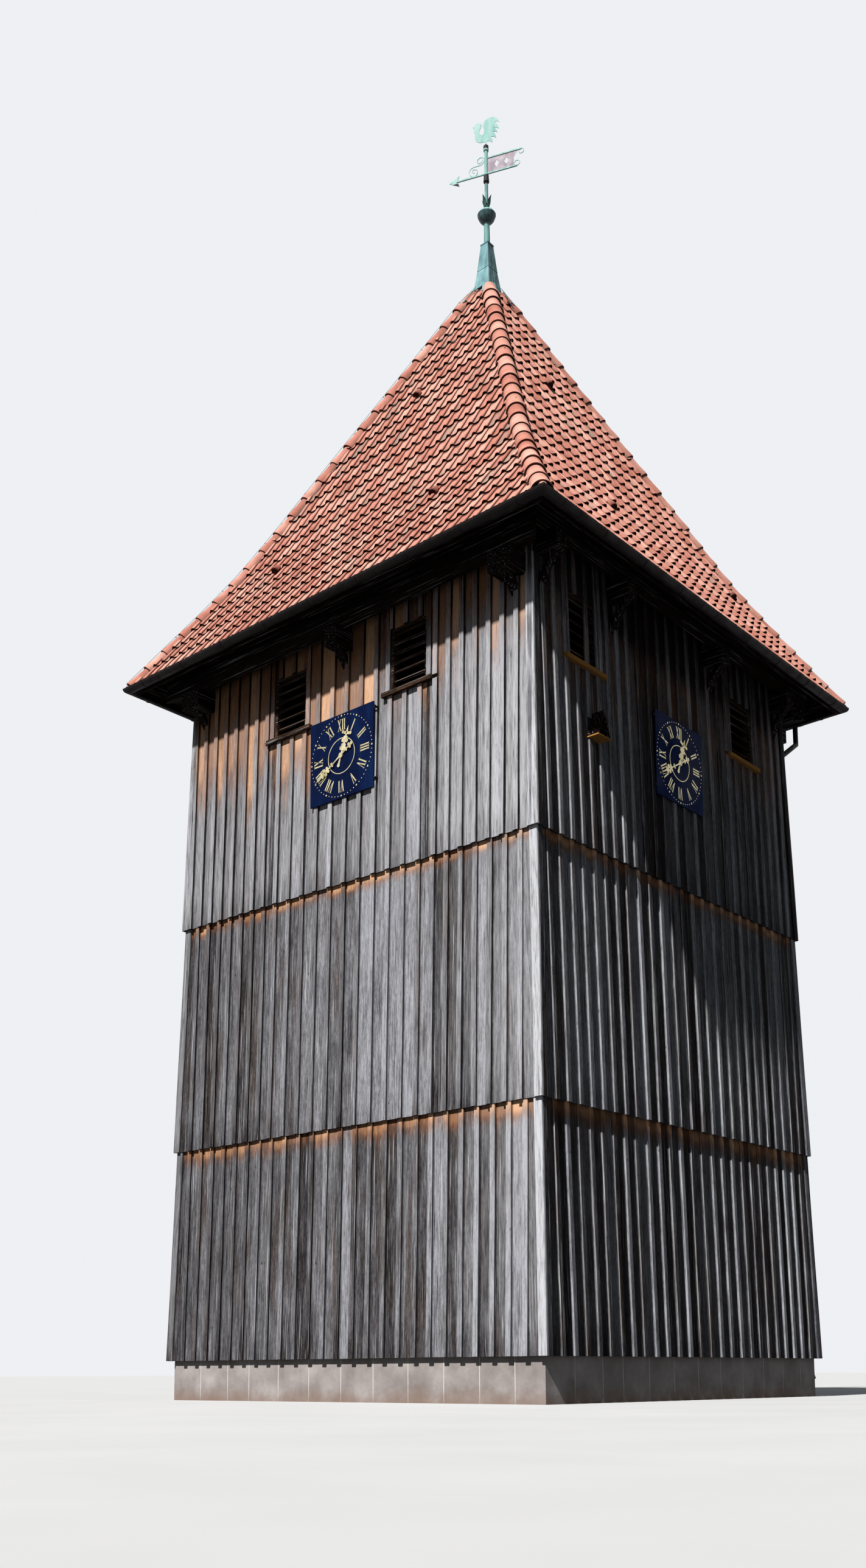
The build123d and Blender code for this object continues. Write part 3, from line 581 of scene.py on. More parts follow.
@dataclass(frozen=True)
class SheetMetal:
    """Painted or weathered sheet, streaked down its face."""

    name: str
    dark: Colour
    mid: Colour
    pale: Colour
    shine: float = 0.5
    metallic: float = 0.0
    streaks: float = 0.18
    scale: float = 9.0
    relief: float = 0.002
    collars: tuple[tuple[float, float], ...] = ()
    collar_paint: Colour = paint(20, 20, 24)
    plus_x_trails: float = 0.0
    gloss: float = 0.25

    def material(self) -> bpy.types.Material:
        """Builds the sheet's nodes.

        Returns:
            The material.
        """
        nodes = Nodes(self.name)
        place = nodes.place(GrainRun.ALONG_Z)
        run = nodes.noise(nodes.stretched(place, self.streaks, 2.3), self.scale, 6.0, 0.62, 0.3)
        blot = nodes.noise(place, self.scale * 0.5, 4.0, 0.55)
        grit = nodes.noise(place, self.scale * 14, 3.0, 0.6)
        level = nodes.weighed((run, 0.62), (blot, 0.3), (grit, 0.12))
        colour = nodes.ramp(level, ((0.36, self.dark), (0.52, self.mid), (0.68, self.pale)))
        # Darker drip trails on the faces that look towards +x.
        if self.plus_x_trails:
            facing = nodes.add("ShaderNodeSeparateXYZ")
            nodes.feed(facing.inputs[0], nodes.add("ShaderNodeTexCoord").outputs["Normal"])
            stain = nodes.calc("MULTIPLY", nodes.between(facing.outputs["X"], 0.5, 0.9), self.plus_x_trails)
            drips = nodes.noise(nodes.stretched(place, 0.12, 5.5), 26.0, 4.0, 0.6)
            trails = nodes.between(drips, 0.42, 0.56)
            colour = nodes.mix(nodes.calc("MULTIPLY", stain, trails), colour, self.collar_paint)
        for low, high in self.collars:
            colour = nodes.mix(nodes.within(low, high), colour, self.collar_paint)
        # The marked darkening pulls the sheet towards its dark colour: painted shade under laps and edges,
        # and dirt.
        colour = nodes.mix(nodes.calc("MULTIPLY", nodes.marked("dirt"), 0.8, True), colour, self.dark)
        rough = nodes.between(blot, 0.3, 0.7, self.shine - 0.12, self.shine + 0.14)
        normal = nodes.bump(nodes.weighed((run, 1.0), (grit, 0.4)), self.relief, 0.5)
        return nodes.surface(
            Base_Color=colour, Roughness=rough, Metallic=self.metallic, Normal=normal,
            Specular_IOR_Level=self.gloss,
        )


@dataclass(frozen=True)
class SmoothStone:
    """Smooth pale plinth stone, stained reddish near the ground."""

    name: str
    shade: Colour = paint(142, 134, 131)
    body: Colour = paint(172, 164, 162)
    light: Colour = paint(204, 197, 195)
    stain: Colour = paint(150, 124, 108)

    def material(self) -> bpy.types.Material:
        """Builds the stone's nodes.

        Returns:
            The material.
        """
        nodes = Nodes(self.name)
        place = nodes.place(GrainRun.ALONG_Z)
        cloud = nodes.noise(place, 2.2, 5.0, 0.6)
        grit = nodes.noise(place, 120.0, 4.0, 0.65)
        level = nodes.weighed((cloud, 0.7), (grit, 0.3))
        colour = nodes.ramp(level, ((0.34, self.shade), (0.5, self.body), (0.68, self.light)))
        edge = nodes.weighed((nodes.height(), 1.0), (cloud, 0.35))
        colour = nodes.mix(nodes.between(edge, 0.4, 0.12, 0.0, 0.7), colour, self.stain)
        pits = nodes.noise(place, 38.0, 5.0, 0.7)
        normal = nodes.bump(nodes.calc("ADD", grit, pits), 0.003, 0.5)
        return nodes.surface(Base_Color=colour, Roughness=0.88, Normal=normal, Specular_IOR_Level=0.2)


# Darkening per side: grime, and on the right side mostly painted shade, as that wall stands out of the key
# light.
SIDE_GRIME_AND_SHADE = {Side.FRONT: 0.0, Side.RIGHT: 0.58, Side.BACK: 0.1, Side.LEFT: 0.15}
SHEET_DARK = dict(dark=paint(14, 11, 12), mid=paint(26, 21, 22), pale=paint(46, 40, 40))


@dataclass
class Draft:
    """Faces gathered for one piece, with the values that its finish reads at each point."""

    name: str
    points: list[Vector] = field(default_factory=list)
    faces: list[tuple[int, ...]] = field(default_factory=list)
    grain: list[Vector] = field(default_factory=list)
    tone: list[float] = field(default_factory=list)
    shelter: list[float] = field(default_factory=list)
    dirt: list[float] = field(default_factory=list)

    def loft(
        self, rows: Sequence[Sequence[Spot]], tone: float, looped: bool = False, capped: bool = False
    ) -> None:
        """Adds a skin over rows of spots.

        Args:
            rows: Rows of equal length, the skin's outside on their left as they advance.
            tone: One number for the whole skin.
            looped: Whether each row closes on itself.
            capped: Whether the first and last rows are closed with a face.
        """
        start, width = len(self.points), len(rows[0])
        for spot in (spot for row in rows for spot in row):
            self.points.append(spot.point)
            self.grain.append(spot.grain)
            self.shelter.append(spot.shelter)
            self.dirt.append(spot.dirt)
            self.tone.append(tone)
        across = width if looped else width - 1
        for step in range(len(rows) - 1):
            low, high = start + step * width, start + (step + 1) * width
            for column in range(across):
                after = (column + 1) % width
                self.faces.append((low + column, low + after, high + after, high + column))
        if capped:
            self.faces.append(tuple(start + column for column in reversed(range(width))))
            last = start + (len(rows) - 1) * width
            self.faces.append(tuple(last + column for column in range(width)))

    def slab(self, outline: Sequence[Vector], drop: Vector, tone: float = 0.5, dirt: float = 0.0) -> None:
        """Adds a flat plate of one thickness.

        Args:
            outline: Its upper outline.
            drop: From the upper to the lower face.
            tone: One number for the plate.
            dirt: How dark it is made, for dirt and painted shade.
        """
        rows = [[Spot(corner + drop * share, corner, 0.0, dirt) for corner in outline] for share in (1, 0)]
        self.loft(rows, tone, looped=True, capped=True)

    def tube(self, path: Sequence[Vector], radii: Sequence[float], tone: float = 0.5, sides: int = 8) -> None:
        """Adds a round bar along a path.

        Args:
            path: Its places.
            radii: Its radius at each place.
            tone: One number for the bar.
            sides: How many flat sides it has.
        """
        rows = []
        for index, (place, radius) in enumerate(zip(path, radii)):
            ahead = (path[min(index + 1, len(path) - 1)] - path[max(index - 1, 0)]).normalized()
            level = Vector((0, 0, 1)) if abs(ahead.z) < 0.9 else Vector((1, 0, 0))
            aside = ahead.cross(level).normalized()
            over = ahead.cross(aside)
            turns = [2 * math.pi * step / sides for step in range(sides)]
            spots = [place + (aside * math.cos(turn) + over * math.sin(turn)) * radius for turn in turns]
            rows.append([Spot(spot, spot) for spot in spots])
        self.loft(rows, tone, looped=True, capped=True)

    def make(
        self,
        finish: bpy.types.Material,
        slot: str,
        body: str = "tower",
        turn: Matrix | None = None,
        smooth: float = 0.0,
        cuts: Sequence[Vector] = (),
    ) -> bpy.types.Object:
        """Makes the piece and hands it to its body.

        Args:
            finish: Its material.
            slot: The record's slot named for it; not used.
            body: The body that it moves with.
            turn: Where to turn it from the front.
            smooth: Edges under this angle, in degrees, are shaded smooth.
            cuts: Normals of planes through the upright axis; what lies beyond them is cut away.

        Returns:
            The piece.
        """
        mesh = bpy.data.meshes.new(self.name)
        mesh.from_pydata([tuple(point) for point in self.points], [], self.faces)
        vectors = mesh.attributes.new("grain", "FLOAT_VECTOR", "POINT")
        vectors.data.foreach_set("vector", [part for entry in self.grain for part in entry])
        for key, values in (("tone", self.tone), ("shelter", self.shelter), ("dirt", self.dirt)):
            mesh.attributes.new(key, "FLOAT", "POINT").data.foreach_set("value", values)
        if cuts:
            shape = bmesh.new()
            shape.from_mesh(mesh)
            for normal in cuts:
                everything = shape.verts[:] + shape.edges[:] + shape.faces[:]
                bmesh.ops.bisect_plane(
                    shape, geom=everything, plane_co=(0, 0, 0), plane_no=normal, clear_outer=True
                )
            shape.to_mesh(mesh)
            shape.free()
        if turn is not None:
            mesh.transform(turn)
        if smooth:
            mesh.polygons.foreach_set("use_smooth", [True] * len(mesh.polygons))
            mesh.set_sharp_from_angle(angle=math.radians(smooth))
        mesh.validate()
        mesh.materials.append(finish)
        piece = bpy.data.objects.new(self.name, mesh)
        bpy.context.scene.collection.objects.link(piece)
        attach(piece, body)
        return piece


def dress(finish: bpy.types.Material, *names: str, smooth: bool = False) -> None:
    """Gives CAD nodes their finish.

    Args:
        finish: The material.
        *names: The nodes.
        smooth: Whether their faces are shaded smooth.
    """
    for name in names:
        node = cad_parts[name]
        for slot in node.material_slots:
            slot.material = finish
        if smooth:
            node.data.polygons.foreach_set("use_smooth", [True] * len(node.data.polygons))
            node.data.set_sharp_from_angle(angle=math.radians(35))


class Opening(NamedTuple):
    """A louvred opening in the upper tier and the sill below it, in the plane of its wall."""

    centre: float
    half: float = 0.320
    foot: float = 9.306
    sill_top: float = 9.366
    top: float = 10.268
    sill_half: float = 0.443


@dataclass
class Cladding:
    """One tier of upright boards with a batten over each joint, on all four sides."""

    name: str
    foot_half: float
    foot_z: float
    top_z: float
    skirt_z: float
    battens: dict[bool, tuple[float, ...]]
    openings: dict[bool, tuple[float, ...]] = field(default_factory=dict)
    under_eaves: bool = False
    darkening: float = 0.0
    warm_depth: float = 0.30
    batter: float = 0.0245
    board_out: float = 0.002
    batten_out: float = 0.034
    batten_half: float = 0.039
    chamfer: float = 0.006
    corner_wide: float = 0.088
    warm_near: tuple[float, float] = (8.45, 9.5)
    warm_far: tuple[float, float] = (7.2, 9.0)
    warm_front: tuple[float, float] = (9.0, 9.85)
    eaves_painted_shade: tuple[float, float] = (9.75, 10.45)
    dial_reach: float = 0.62
    dial_shade: tuple[float, float] = (7.6, 8.12)
    sill_reach: float = 0.44
    sill_shade: tuple[float, float] = (8.9, 9.31)
    nest_centre: float = -2.01
    nest_reach: float = 0.18
    nest_gap: tuple[float, float] = (8.38, 8.66)
    seed: int = 7

    def half(self, z: float) -> float:
        """Half width of the boards' face at a height."""
        return self.foot_half - self.batter * (z - self.foot_z)

    def levels(self, low: float, high: float) -> list[float]:
        """Heights at which a board is divided, closer where its colour changes.

        Args:
            low: Its foot.
            high: Its top.

        Returns:
            Heights in rising order.
        """
        step = 0.42
        marks = [low + step * count for count in range(1, int((high - low) / step) + 1)]
        marks += [self.skirt_z - drop for drop in (0.0, 0.05, 0.11, 0.18, 0.27)]
        inside = sorted(mark for mark in marks if low + 0.03 < mark < high - 0.03)
        return [low, *inside, high]

    def shelter(self, side: Side, u: float, z: float, drift: float = 0.0) -> float:
        """How far rain is kept off a place on the wall.

        Args:
            side: The side.
            u: How far along the wall it lies.
            z: Its height.
            drift: How much further down the eaves' shelter reaches here.

        Returns:
            From 0 to 1.
        """
        if not self.under_eaves:
            return 1.0 - smooth_step(0.02, self.warm_depth, self.skirt_z - z)
        if side is Side.FRONT:
            spread = 0.3 + 0.85 * smooth_step(1.2, 0.1, u)
        else:
            spread = 0.5
        reach = z + drift
        near, far = smooth_step(*self.warm_near, reach), smooth_step(*self.warm_far, reach)
        eaves = spread * (0.8 * near + 0.25 * far)
        if side is Side.FRONT:
            eaves = max(eaves, 0.78 * smooth_step(*self.warm_front, reach))
        low, high = self.dial_shade
        if side in (Side.FRONT, Side.RIGHT) and abs(u) < self.dial_reach and low < z < high:
            eaves = max(eaves, 1.0 - (high - z) / 0.42)
        low, high = self.sill_shade
        for centre in self.openings[side.is_gable_pair]:
            if abs(u - centre) < self.sill_reach and low < z < high:
                eaves = max(eaves, 0.9 - (high - z) / 0.6)
        return eaves

    def wear_and_shade(self, side: Side, x: float, z: float, dirt: float) -> float:
        """How dark a place on a board or batten is made, for dirt and painted shade, or how pale, for bleach
        and painted highlight, where it is below zero.

        Args:
            side: The side.
            x: How far along the wall it lies.
            z: Its height.
            dirt: The darkening, dirt and painted shade, that its place on the board or batten has by itself.

        Returns:
            That darkening with the splash at the foot, the side's grime and painted shade, and painted shade
            under the eaves and on the right side away from its front corner.
        """
        darkening = dirt + 0.18 * (1 - smooth_step(0.0, 0.5, z - self.foot_z))
        open_face = dirt <= 0.1
        if open_face:
            # The tier's own darkening, and the side's grime with painted shade on the right side.
            darkening += self.darkening + SIDE_GRIME_AND_SHADE[side]
        if self.under_eaves:
            # Painted shade: darker towards the top, where the eaves' shadow falls.
            darkening += 0.75 * smooth_step(*self.eaves_painted_shade, z)
            # Painted shade: the right side's upper tier grows darker away from its front corner, beyond the
            # sunlit wedge.
            if side is Side.RIGHT:
                darkening += 0.3 * smooth_step(-2.6, -1.0, x)
        if side is Side.FRONT and open_face:
            darkening -= 0.3 * smooth_step(1.0, 3.2, x) + (0.16 if self.under_eaves else 0.0)
        return darkening

    def plank(
        self,
        draft: Draft,
        side: Side,
        u: float,
        section: Section,
        low: float,
        high: float,
        lean: float,
        warm: float,
        dice: random.Random,
    ) -> None:
        """Adds one board or batten.

        Args:
            draft: The piece that it joins.
            side: The side.
            u: Its middle, along the wall.
            section: Steps across and out with their darkening, for dirt and painted shade, from left to
                right.
            low: Its foot.
            high: Its top.
            lean: 1 or -1 where it follows a corner, else 0.
            warm: How much of the wall's shelter it shows.
            dice: Seeded chance.
        """
        shift = Vector((dice.uniform(0, 40), dice.uniform(0, 40), dice.uniform(0, 40)))
        tone, wave = dice.random(), dice.uniform(0, 6)
        drift = dice.uniform(-0.3, 0.45) if self.under_eaves else 0.0
        if side is Side.FRONT:
            tone *= 0.45 + 0.55 * smooth_step(-2.6, 0.4, u)
        foot = low - dice.uniform(0.0, 0.004)
        rows = []
        for z in self.levels(foot, high):
            sway = 0.0018 * math.sin(z * 1.9 + wave) - lean * self.batter * (z - self.foot_z)
            middle = u + sway
            row = []
            for across, out, dirt in section:
                x = middle + across
                grain = Vector((across, out, z)) + shift
                point = Vector((x, -self.half(z) - out, z))
                shelter = warm * self.shelter(side, x, z, drift)
                row.append(Spot(point, grain, shelter, self.wear_and_shade(side, x, z, dirt)))
            rows.append(row)
        draft.loft(rows, tone, looped=True, capped=True)

    def batten_parts(self, side: Side, u: float) -> list[tuple[float, float]]:
        """The stretches of a batten that no opening, sill or box interrupts.

        Args:
            side: The side.
            u: Its middle, along the wall.

        Returns:
            Pairs of foot and top.
        """
        parts = [(self.foot_z, self.top_z)]
        for centre in self.openings.get(side.is_gable_pair, ()):
            opening = Opening(centre)
            if abs(u - centre) < opening.half + self.batten_half:
                parts = [(self.foot_z, opening.foot), (opening.top, self.top_z)]
            elif abs(u - centre) < opening.sill_half + self.batten_half:
                parts = [(self.foot_z, opening.foot), (opening.sill_top, self.top_z)]
        if side is Side.RIGHT and self.under_eaves and abs(u - self.nest_centre) < self.nest_reach:
            parts = [(self.foot_z, self.nest_gap[0]), (self.nest_gap[1], self.top_z)]
        return parts

    def spans(
        self, left: float, right: float, openings: Sequence[Opening]
    ) -> list[tuple[float, float, float, float]]:
        """The parts of a board that the openings leave.

        Args:
            left: The board's left edge.
            right: Its right edge.
            openings: The side's openings.

        Returns:
            Left edge, right edge, foot and top of each part.
        """
        spans = [(left, right, self.foot_z, self.top_z)]
        for opening in openings:
            low_u, high_u = opening.centre - opening.half, opening.centre + opening.half
            kept = []
            for a, b, low, high in spans:
                if b <= low_u or a >= high_u or low >= opening.top:
                    kept.append((a, b, low, high))
                    continue
                if a < low_u - 0.002:
                    kept.append((a, low_u, low, high))
                if b > high_u + 0.002:
                    kept.append((high_u, b, low, high))
                inner = (max(a, low_u), min(b, high_u))
                kept += [(*inner, low, opening.foot + 0.01), (*inner, opening.top, high)]
            spans = kept
        return spans

    def batten_shape(self, side: Side) -> Section:
        """The chamfered section of a batten.

        Args:
            side: The side, since the right one's left flanks are painted pale, as bleach and painted
                sunlight.

        Returns:
            Steps across and out with their dirt, from left to right.
        """
        half, out, cut = self.batten_half, self.batten_out, self.chamfer
        # The dark flanks where batten meets board are dirt and painted shade; the pale chamfers and face are
        # bleach and painted highlight.
        shape = (
            (-half, 0.0, 0.7),
            (-half, out - 2 * cut, 0.45),
            (-half, out - cut, -0.35),
            (-half + cut, out, -0.2),
            (half - cut, out, -0.12),
            (half, out - cut, -0.35),
            (half, out - 1.5 * cut, 0.6),
            (half, 0.0, 0.8),
        )
        # On the right side the flanks towards the key light are painted pale as painted sunlight.
        if side is Side.RIGHT:
            painted_sun_flank = ((-half, 0.0, -0.3), (-half, out - 2 * cut, -0.9), (-half, out - cut, -1.2))
            shape = (*painted_sun_flank, (-half + cut, out, -0.7), (half - cut, out, -0.4), *shape[5:])
        return shape

    def corner_shape(self, side: Side, sign: int) -> Section:
        """The section of the strip at a corner.

        Args:
            side: The side.
            sign: -1 for its left corner, 1 for its right one.

        Returns:
            Steps across and out with their darkening, for dirt and painted shade, from left to right.
        """
        out, cut, wide = self.batten_out, self.chamfer, self.corner_wide
        inner, outer = -wide / 2, wide / 2 + (out if side.is_gable_pair else 0.0)
        if sign < 0:
            inner, outer = -outer, -inner
        # The near corner strips, front right and right left, are paler as painted highlight where the key
        # light grazes them; the rest is bleach. The inner edge's dark is dirt and painted shade at the joint.
        corner_bleach_and_highlight = {(Side.FRONT, 1): 0.9, (Side.RIGHT, -1): 0.5}.get((side, sign), 0.35)
        return (
            (inner, 0.0, 0.4),
            (inner, out - cut, -0.5 * corner_bleach_and_highlight),
            (inner + cut, out, -0.9 * corner_bleach_and_highlight),
            (outer - cut, out, -corner_bleach_and_highlight),
            (outer, out - cut, -corner_bleach_and_highlight),
            (outer, 0.0, -0.6 * corner_bleach_and_highlight),
        )

    def build(self, side: Side) -> Draft:
        """Boards, battens and corner strips of one side.

        Args:
            side: The side.

        Returns:
            The gathered faces.
        """
        dice = random.Random(self.seed * 100 + side.value)
        draft = Draft(f"{self.name}_boards_{side.label}")
        joints = self.battens[side.is_gable_pair]
        edges = [-self.foot_half + 0.01, *joints, self.foot_half - 0.01]
        openings = [Opening(centre) for centre in self.openings.get(side.is_gable_pair, ())]
        for left, right in zip(edges, edges[1:]):
            lean = -1 if left == edges[0] else (1 if right == edges[-1] else 0)
            for a, b, low, high in self.spans(left, right, openings):
                half, out = (b - a) / 2 - 0.002, self.board_out + dice.uniform(-0.001, 0.002)
                if half < 0.01:
                    continue
                near, far = (max(0.0, half - self.batten_half - gap) for gap in (0.006, 0.022))
                # The board's darker edges are joint dirt and painted shade beside the battens, darkest
                # nearest them.
                section = (
                    (-half, 0.0, 0.3),
                    (-half, out, 0.3),
                    (-near, out, 0.6),
                    (-far, out, 0.0),
                    (0.0, out + 0.001, 0.0),
                    (far, out, 0.0),
                    (near, out, 0.35),
                    (half, out, 0.3),
                    (half, 0.0, 0.3),
                )
                warm = dice.uniform(0.7, 1.1) if self.under_eaves else dice.uniform(0.55, 0.98)
                self.plank(draft, side, (a + b) / 2, section, low, high, lean, warm, dice)
        shape = self.batten_shape(side)
        for opening in openings:
            for sign in (-1, 1):
                jamb = opening.centre + sign * (opening.half + self.batten_half + 0.004)
                self.plank(draft, side, jamb, shape, opening.sill_top, self.top_z, 0, 0.5, dice)
        warm = 0.58 if self.under_eaves else 0.75
        for u in joints:
            for low, high in self.batten_parts(side, u):
                self.plank(draft, side, u, shape, low, high, 0, warm, dice)
        for sign in (-1, 1):
            middle = sign * (self.foot_half - self.corner_wide / 2)
            corner = self.corner_shape(side, sign)
            self.plank(draft, side, middle, corner, self.foot_z, self.top_z, sign, 0.1, dice)
        return draft

    def dress(self, finish: bpy.types.Material) -> None:
        """Makes the cladding of all four sides.

        Args:
            finish: The wood.
        """
        for side in Side:
            self.build(side).make(finish, "weathered_boards", turn=side.turn)


@dataclass
class Slope:
    """The bell-cast line up a roof slope, by distance from its foot."""

    foot: tuple[float, float] = (3.8919, 10.720)
    kink: tuple[float, float] = (2.750, 12.462)
    top: tuple[float, float] = (0.121, 17.640)
    bend_radius: float = 12.0
    line: list[Vector] = field(default_factory=list)

    def __post_init__(self) -> None:
        """Lays the line's points, with three flat courses round the bend."""
        foot, kink, top = (Vector(point) for point in (self.foot, self.kink, self.top))
        down, up = (foot - kink).normalized(), (top - kink).normalized()
        half_turn = (math.pi - down.angle(up)) / 2
        tangent = self.bend_radius * math.tan(half_turn)
        bow = self.bend_radius / math.cos(half_turn) - self.bend_radius
        middle = kink + (down + up).normalized() * bow
        self.line = [foot, kink + down * tangent, middle, kink + up * tangent, top]

    @property
    def length(self) -> float:
        """The whole line's length."""
        return line_length(self.line)

    def at(self, distance: float) -> tuple[Vector, Vector]:
        """The place that far up the slope, and the direction out of it."""
        return walk(self.line, distance)


@dataclass
class Pantiles:
    """S-shaped clay tiles in courses on the four slopes."""

    slope: Slope
    cover: float = 0.201
    course: float = 0.357
    length: float = 0.43
    sheet: float = 0.015
    tail_lift: float = 0.031
    head_lift: float = 0.004
    eaves_overhang: float = 0.057
    seed: int = 31
    profile: tuple[tuple[float, float], ...] = (
        (-0.02, 0.010),
        (0.07, 0.005),
        (0.18, 0.001),
        (0.32, 0.000),
        (0.45, 0.002),
        (0.56, 0.009),
        (0.65, 0.022),
        (0.73, 0.036),
        (0.82, 0.043),
        (0.91, 0.040),
        (0.985, 0.031),
        (1.025, 0.021),
        (1.03, 0.008),
    )
    # Darkening at the tile's side edges: dirt and painted shade along the roll's overlap.
    edge_dirt: tuple[float, ...] = (0.8, 0.25, 0.0, 0.0, 0.0, 0.0, 0.0, 0.0, 0.0, 0.0, 0.25, 0.9, 1.0)
    roll_fall: float = 0.42

    def tile(self, draft: Draft, x: float, start: float, dice: random.Random) -> None:
        """Adds one tile.

        Args:
            draft: The piece that it joins.
            x: Its left edge.
            start: How far up the slope its tail lies.
            dice: Seeded chance.
        """
        slip, rise, skew = dice.gauss(0, 0.003), dice.uniform(0, 0.003), dice.gauss(0, 0.0022)
        tone, moss = dice.random(), max(0.0, dice.gauss(0.1, 0.16))
        rows = []
        # The tail face and the band below the next course's tail are darkened as painted shade.
        stations = (
            (0.08, -self.sheet, 1.0),
            (0.0, -self.sheet, 1.0),
            (0.0, -0.002, 0.95),
            (0.01, 0.0, 0.0),
            (0.4, 0.0, 0.0),
            (0.69, 0.0, 0.0),
            (0.77, 0.0, 0.8),
            (1.0, 0.0, 1.0),
        )
        for share, sink, dirt in stations:
            distance = start + slip + share * self.length
            place, outward = self.slope.at(distance)
            lift = self.tail_lift + (self.head_lift - self.tail_lift) * share + rise + sink
            row = []
            for index, (across, height) in enumerate(self.profile):
                spot = place + outward * (height * (1 - self.roll_fall * share) + lift)
                point = Vector((x + across * self.cover + skew * (share - 0.5), -spot.x, spot.y))
                edge = self.edge_dirt[index]
                # Painted shade under the next course's tail, lighter on the raised roll.
                under = dirt * (1.0 - 0.5 * height / 0.043) if share > 0.5 else dirt
                hollow = math.exp(-(((across - 0.3) / 0.25) ** 2)) * (1.0 - 0.9 * share)
                row.append(Spot(point, point, moss + 0.42 * hollow, max(under, edge)))
            rows.append(row)
        draft.loft(rows, tone)

    def build(self, side: Side) -> Draft:
        """All tiles of one slope.

        Args:
            side: The side.

        Returns:
            The gathered faces.
        """
        dice = random.Random(self.seed + side.value)
        draft = Draft(f"pantiles_{side.label}")
        courses = int((self.slope.length + self.eaves_overhang) / self.course)
        for number in range(courses):
            start = number * self.course - self.eaves_overhang
            reach = self.slope.at(max(0.0, start))[0].x + 0.06
            columns = int(reach / self.cover) + 1
            for column in range(-columns, columns + 1):
                x = column * self.cover - 0.07
                if x < -reach - self.cover or x > reach:
                    dice.random()
                    continue
                self.tile(draft, x, start, dice)
        return draft

    def dress(self, finish: bpy.types.Material) -> None:
        """Makes the tiles of the four slopes.

        Args:
            finish: The clay.
        """
        cuts = (Vector((1, 1, 0)), Vector((-1, 1, 0)))
        for side in Side:
            self.build(side).make(finish, "roof_tile", turn=side.turn, smooth=50, cuts=cuts)


@dataclass
class HipTiles:
    """Half-round tiles lapping up each hip."""

    slope: Slope
    radius: float = 0.142
    head_radius: float = 0.116
    sink: float = 0.048
    count: int = 23
    lap: float = 0.07
    sheet: float = 0.02
    spread: float = 102.0
    around: int = 14
    top_gap: float = 0.16
    seed: int = 5

    @property
    def line(self) -> list[Vector]:
        """The hip's line, which is the slope's drawn out to the corner."""
        return [Vector((point.x * math.sqrt(2), point.y)) for point in self.slope.line]

    @property
    def length(self) -> float:
        """The hip's whole length."""
        return line_length(self.line)

    def ring(self, distance: float, radius: float, drop: float, dirt: float) -> list[Spot]:
        """One arch across the hip.

        Args:
            distance: How far up the hip.
            radius: The arch's radius.
            drop: How far it sinks below the hip's own line.
            dirt: How dark it is made, for dirt and painted shade.

        Returns:
            Spots from one flank to the other, on the hip at the front right corner.
        """
        place, outward = walk(self.line, distance)
        centre = place - outward * drop
        spots = []
        for step in range(self.around + 1):
            angle = math.radians(self.spread * (2 * step / self.around - 1))
            flat = centre + outward * (radius * math.cos(angle))
            aside = radius * math.sin(angle)
            ahead = flat.x / math.sqrt(2)
            offset = aside / math.sqrt(2)
            point = Vector((ahead + offset, -ahead + offset, flat.y))
            # The flanks darken where the arch meets the slope, as painted shade.
            flank = (2 * step / self.around - 1) ** 4
            spots.append(Spot(point, point, 0.12 + 0.5 * flank, max(dirt, 0.5 * flank)))
        return spots

    def build(self) -> Draft:
        """All tiles of the four hips.

        Returns:
            The gathered faces.
        """
        dice = random.Random(self.seed)
        draft = Draft("hip_covering")
        pitch = (self.length - self.top_gap) / self.count
        for side in Side:
            turned = Draft("hip")
            for number in range(self.count):
                start = number * pitch - 0.02 + dice.gauss(0, 0.004)
                end = start + pitch + self.lap
                wide = self.radius + dice.uniform(-0.003, 0.004)
                narrow = self.head_radius + dice.uniform(-0.003, 0.003)
                sink = self.sink + dice.uniform(-0.004, 0.004)
                # The tail end is dark as painted shade.
                stations = (
                    (start + 0.05, wide - self.sheet, 1.0),
                    (start, wide - self.sheet, 1.0),
                    (start, wide, 0.85),
                    (start + 0.008, wide + 0.002, 0.0),
                    (start + pitch * 0.5, (wide + narrow) / 2, 0.0),
                    (end, narrow, 0.35),
                )
                rows = [self.ring(s, radius, sink, dirt) for s, radius, dirt in stations]
                turned.loft(rows, dice.random())
            turn = side.turn
            offset = len(draft.points)
            draft.points += [turn @ point for point in turned.points]
            draft.faces += [tuple(index + offset for index in face) for face in turned.faces]
            for key in ("grain", "tone", "shelter", "dirt"):
                getattr(draft, key).extend(getattr(turned, key))
        return draft

    def dress(self, finish: bpy.types.Material) -> None:
        """Makes the hip tiles in place of the plain covering.

        Args:
            finish: The clay.
        """
        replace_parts(self.build().make(finish, "roof_tile", smooth=40), "hip_tiles")


@dataclass
class HipCaps:
    """Caps over the top of the hips, where the tiles meet the cone."""

    hips: HipTiles
    name: str
    sides: tuple[Side, ...]
    slot: str
    reach: float = 0.44
    radius: float = 0.124

    def dress(self, finish: bpy.types.Material) -> None:
        """Makes the caps of the chosen hips.

        Args:
            finish: Mortar or copper.
        """
        for side in self.sides:
            draft = Draft(f"{self.name}_{side.label}")
            top = self.hips.length
            # The cap's lower end is darkened as painted shade.
            stations = (
                (self.reach - 0.05, -0.03, 0.6),
                (self.reach, -0.03, 0.6),
                (self.reach, 0.0, 0.2),
                (self.reach * 0.6, -0.006, 0.0),
                (0.17, -0.05, 0.3),
            )
            rows = [
                self.hips.ring(top - down, self.radius + swell, self.hips.sink, dirt)
                for down, swell, dirt in stations
            ]
            rows = [[spot._replace(shelter=0.0, dirt=min(spot.dirt, 0.3)) for spot in row] for row in rows]
            draft.loft(rows, 0.5)
            draft.make(finish, self.slot, turn=side.turn, smooth=40)


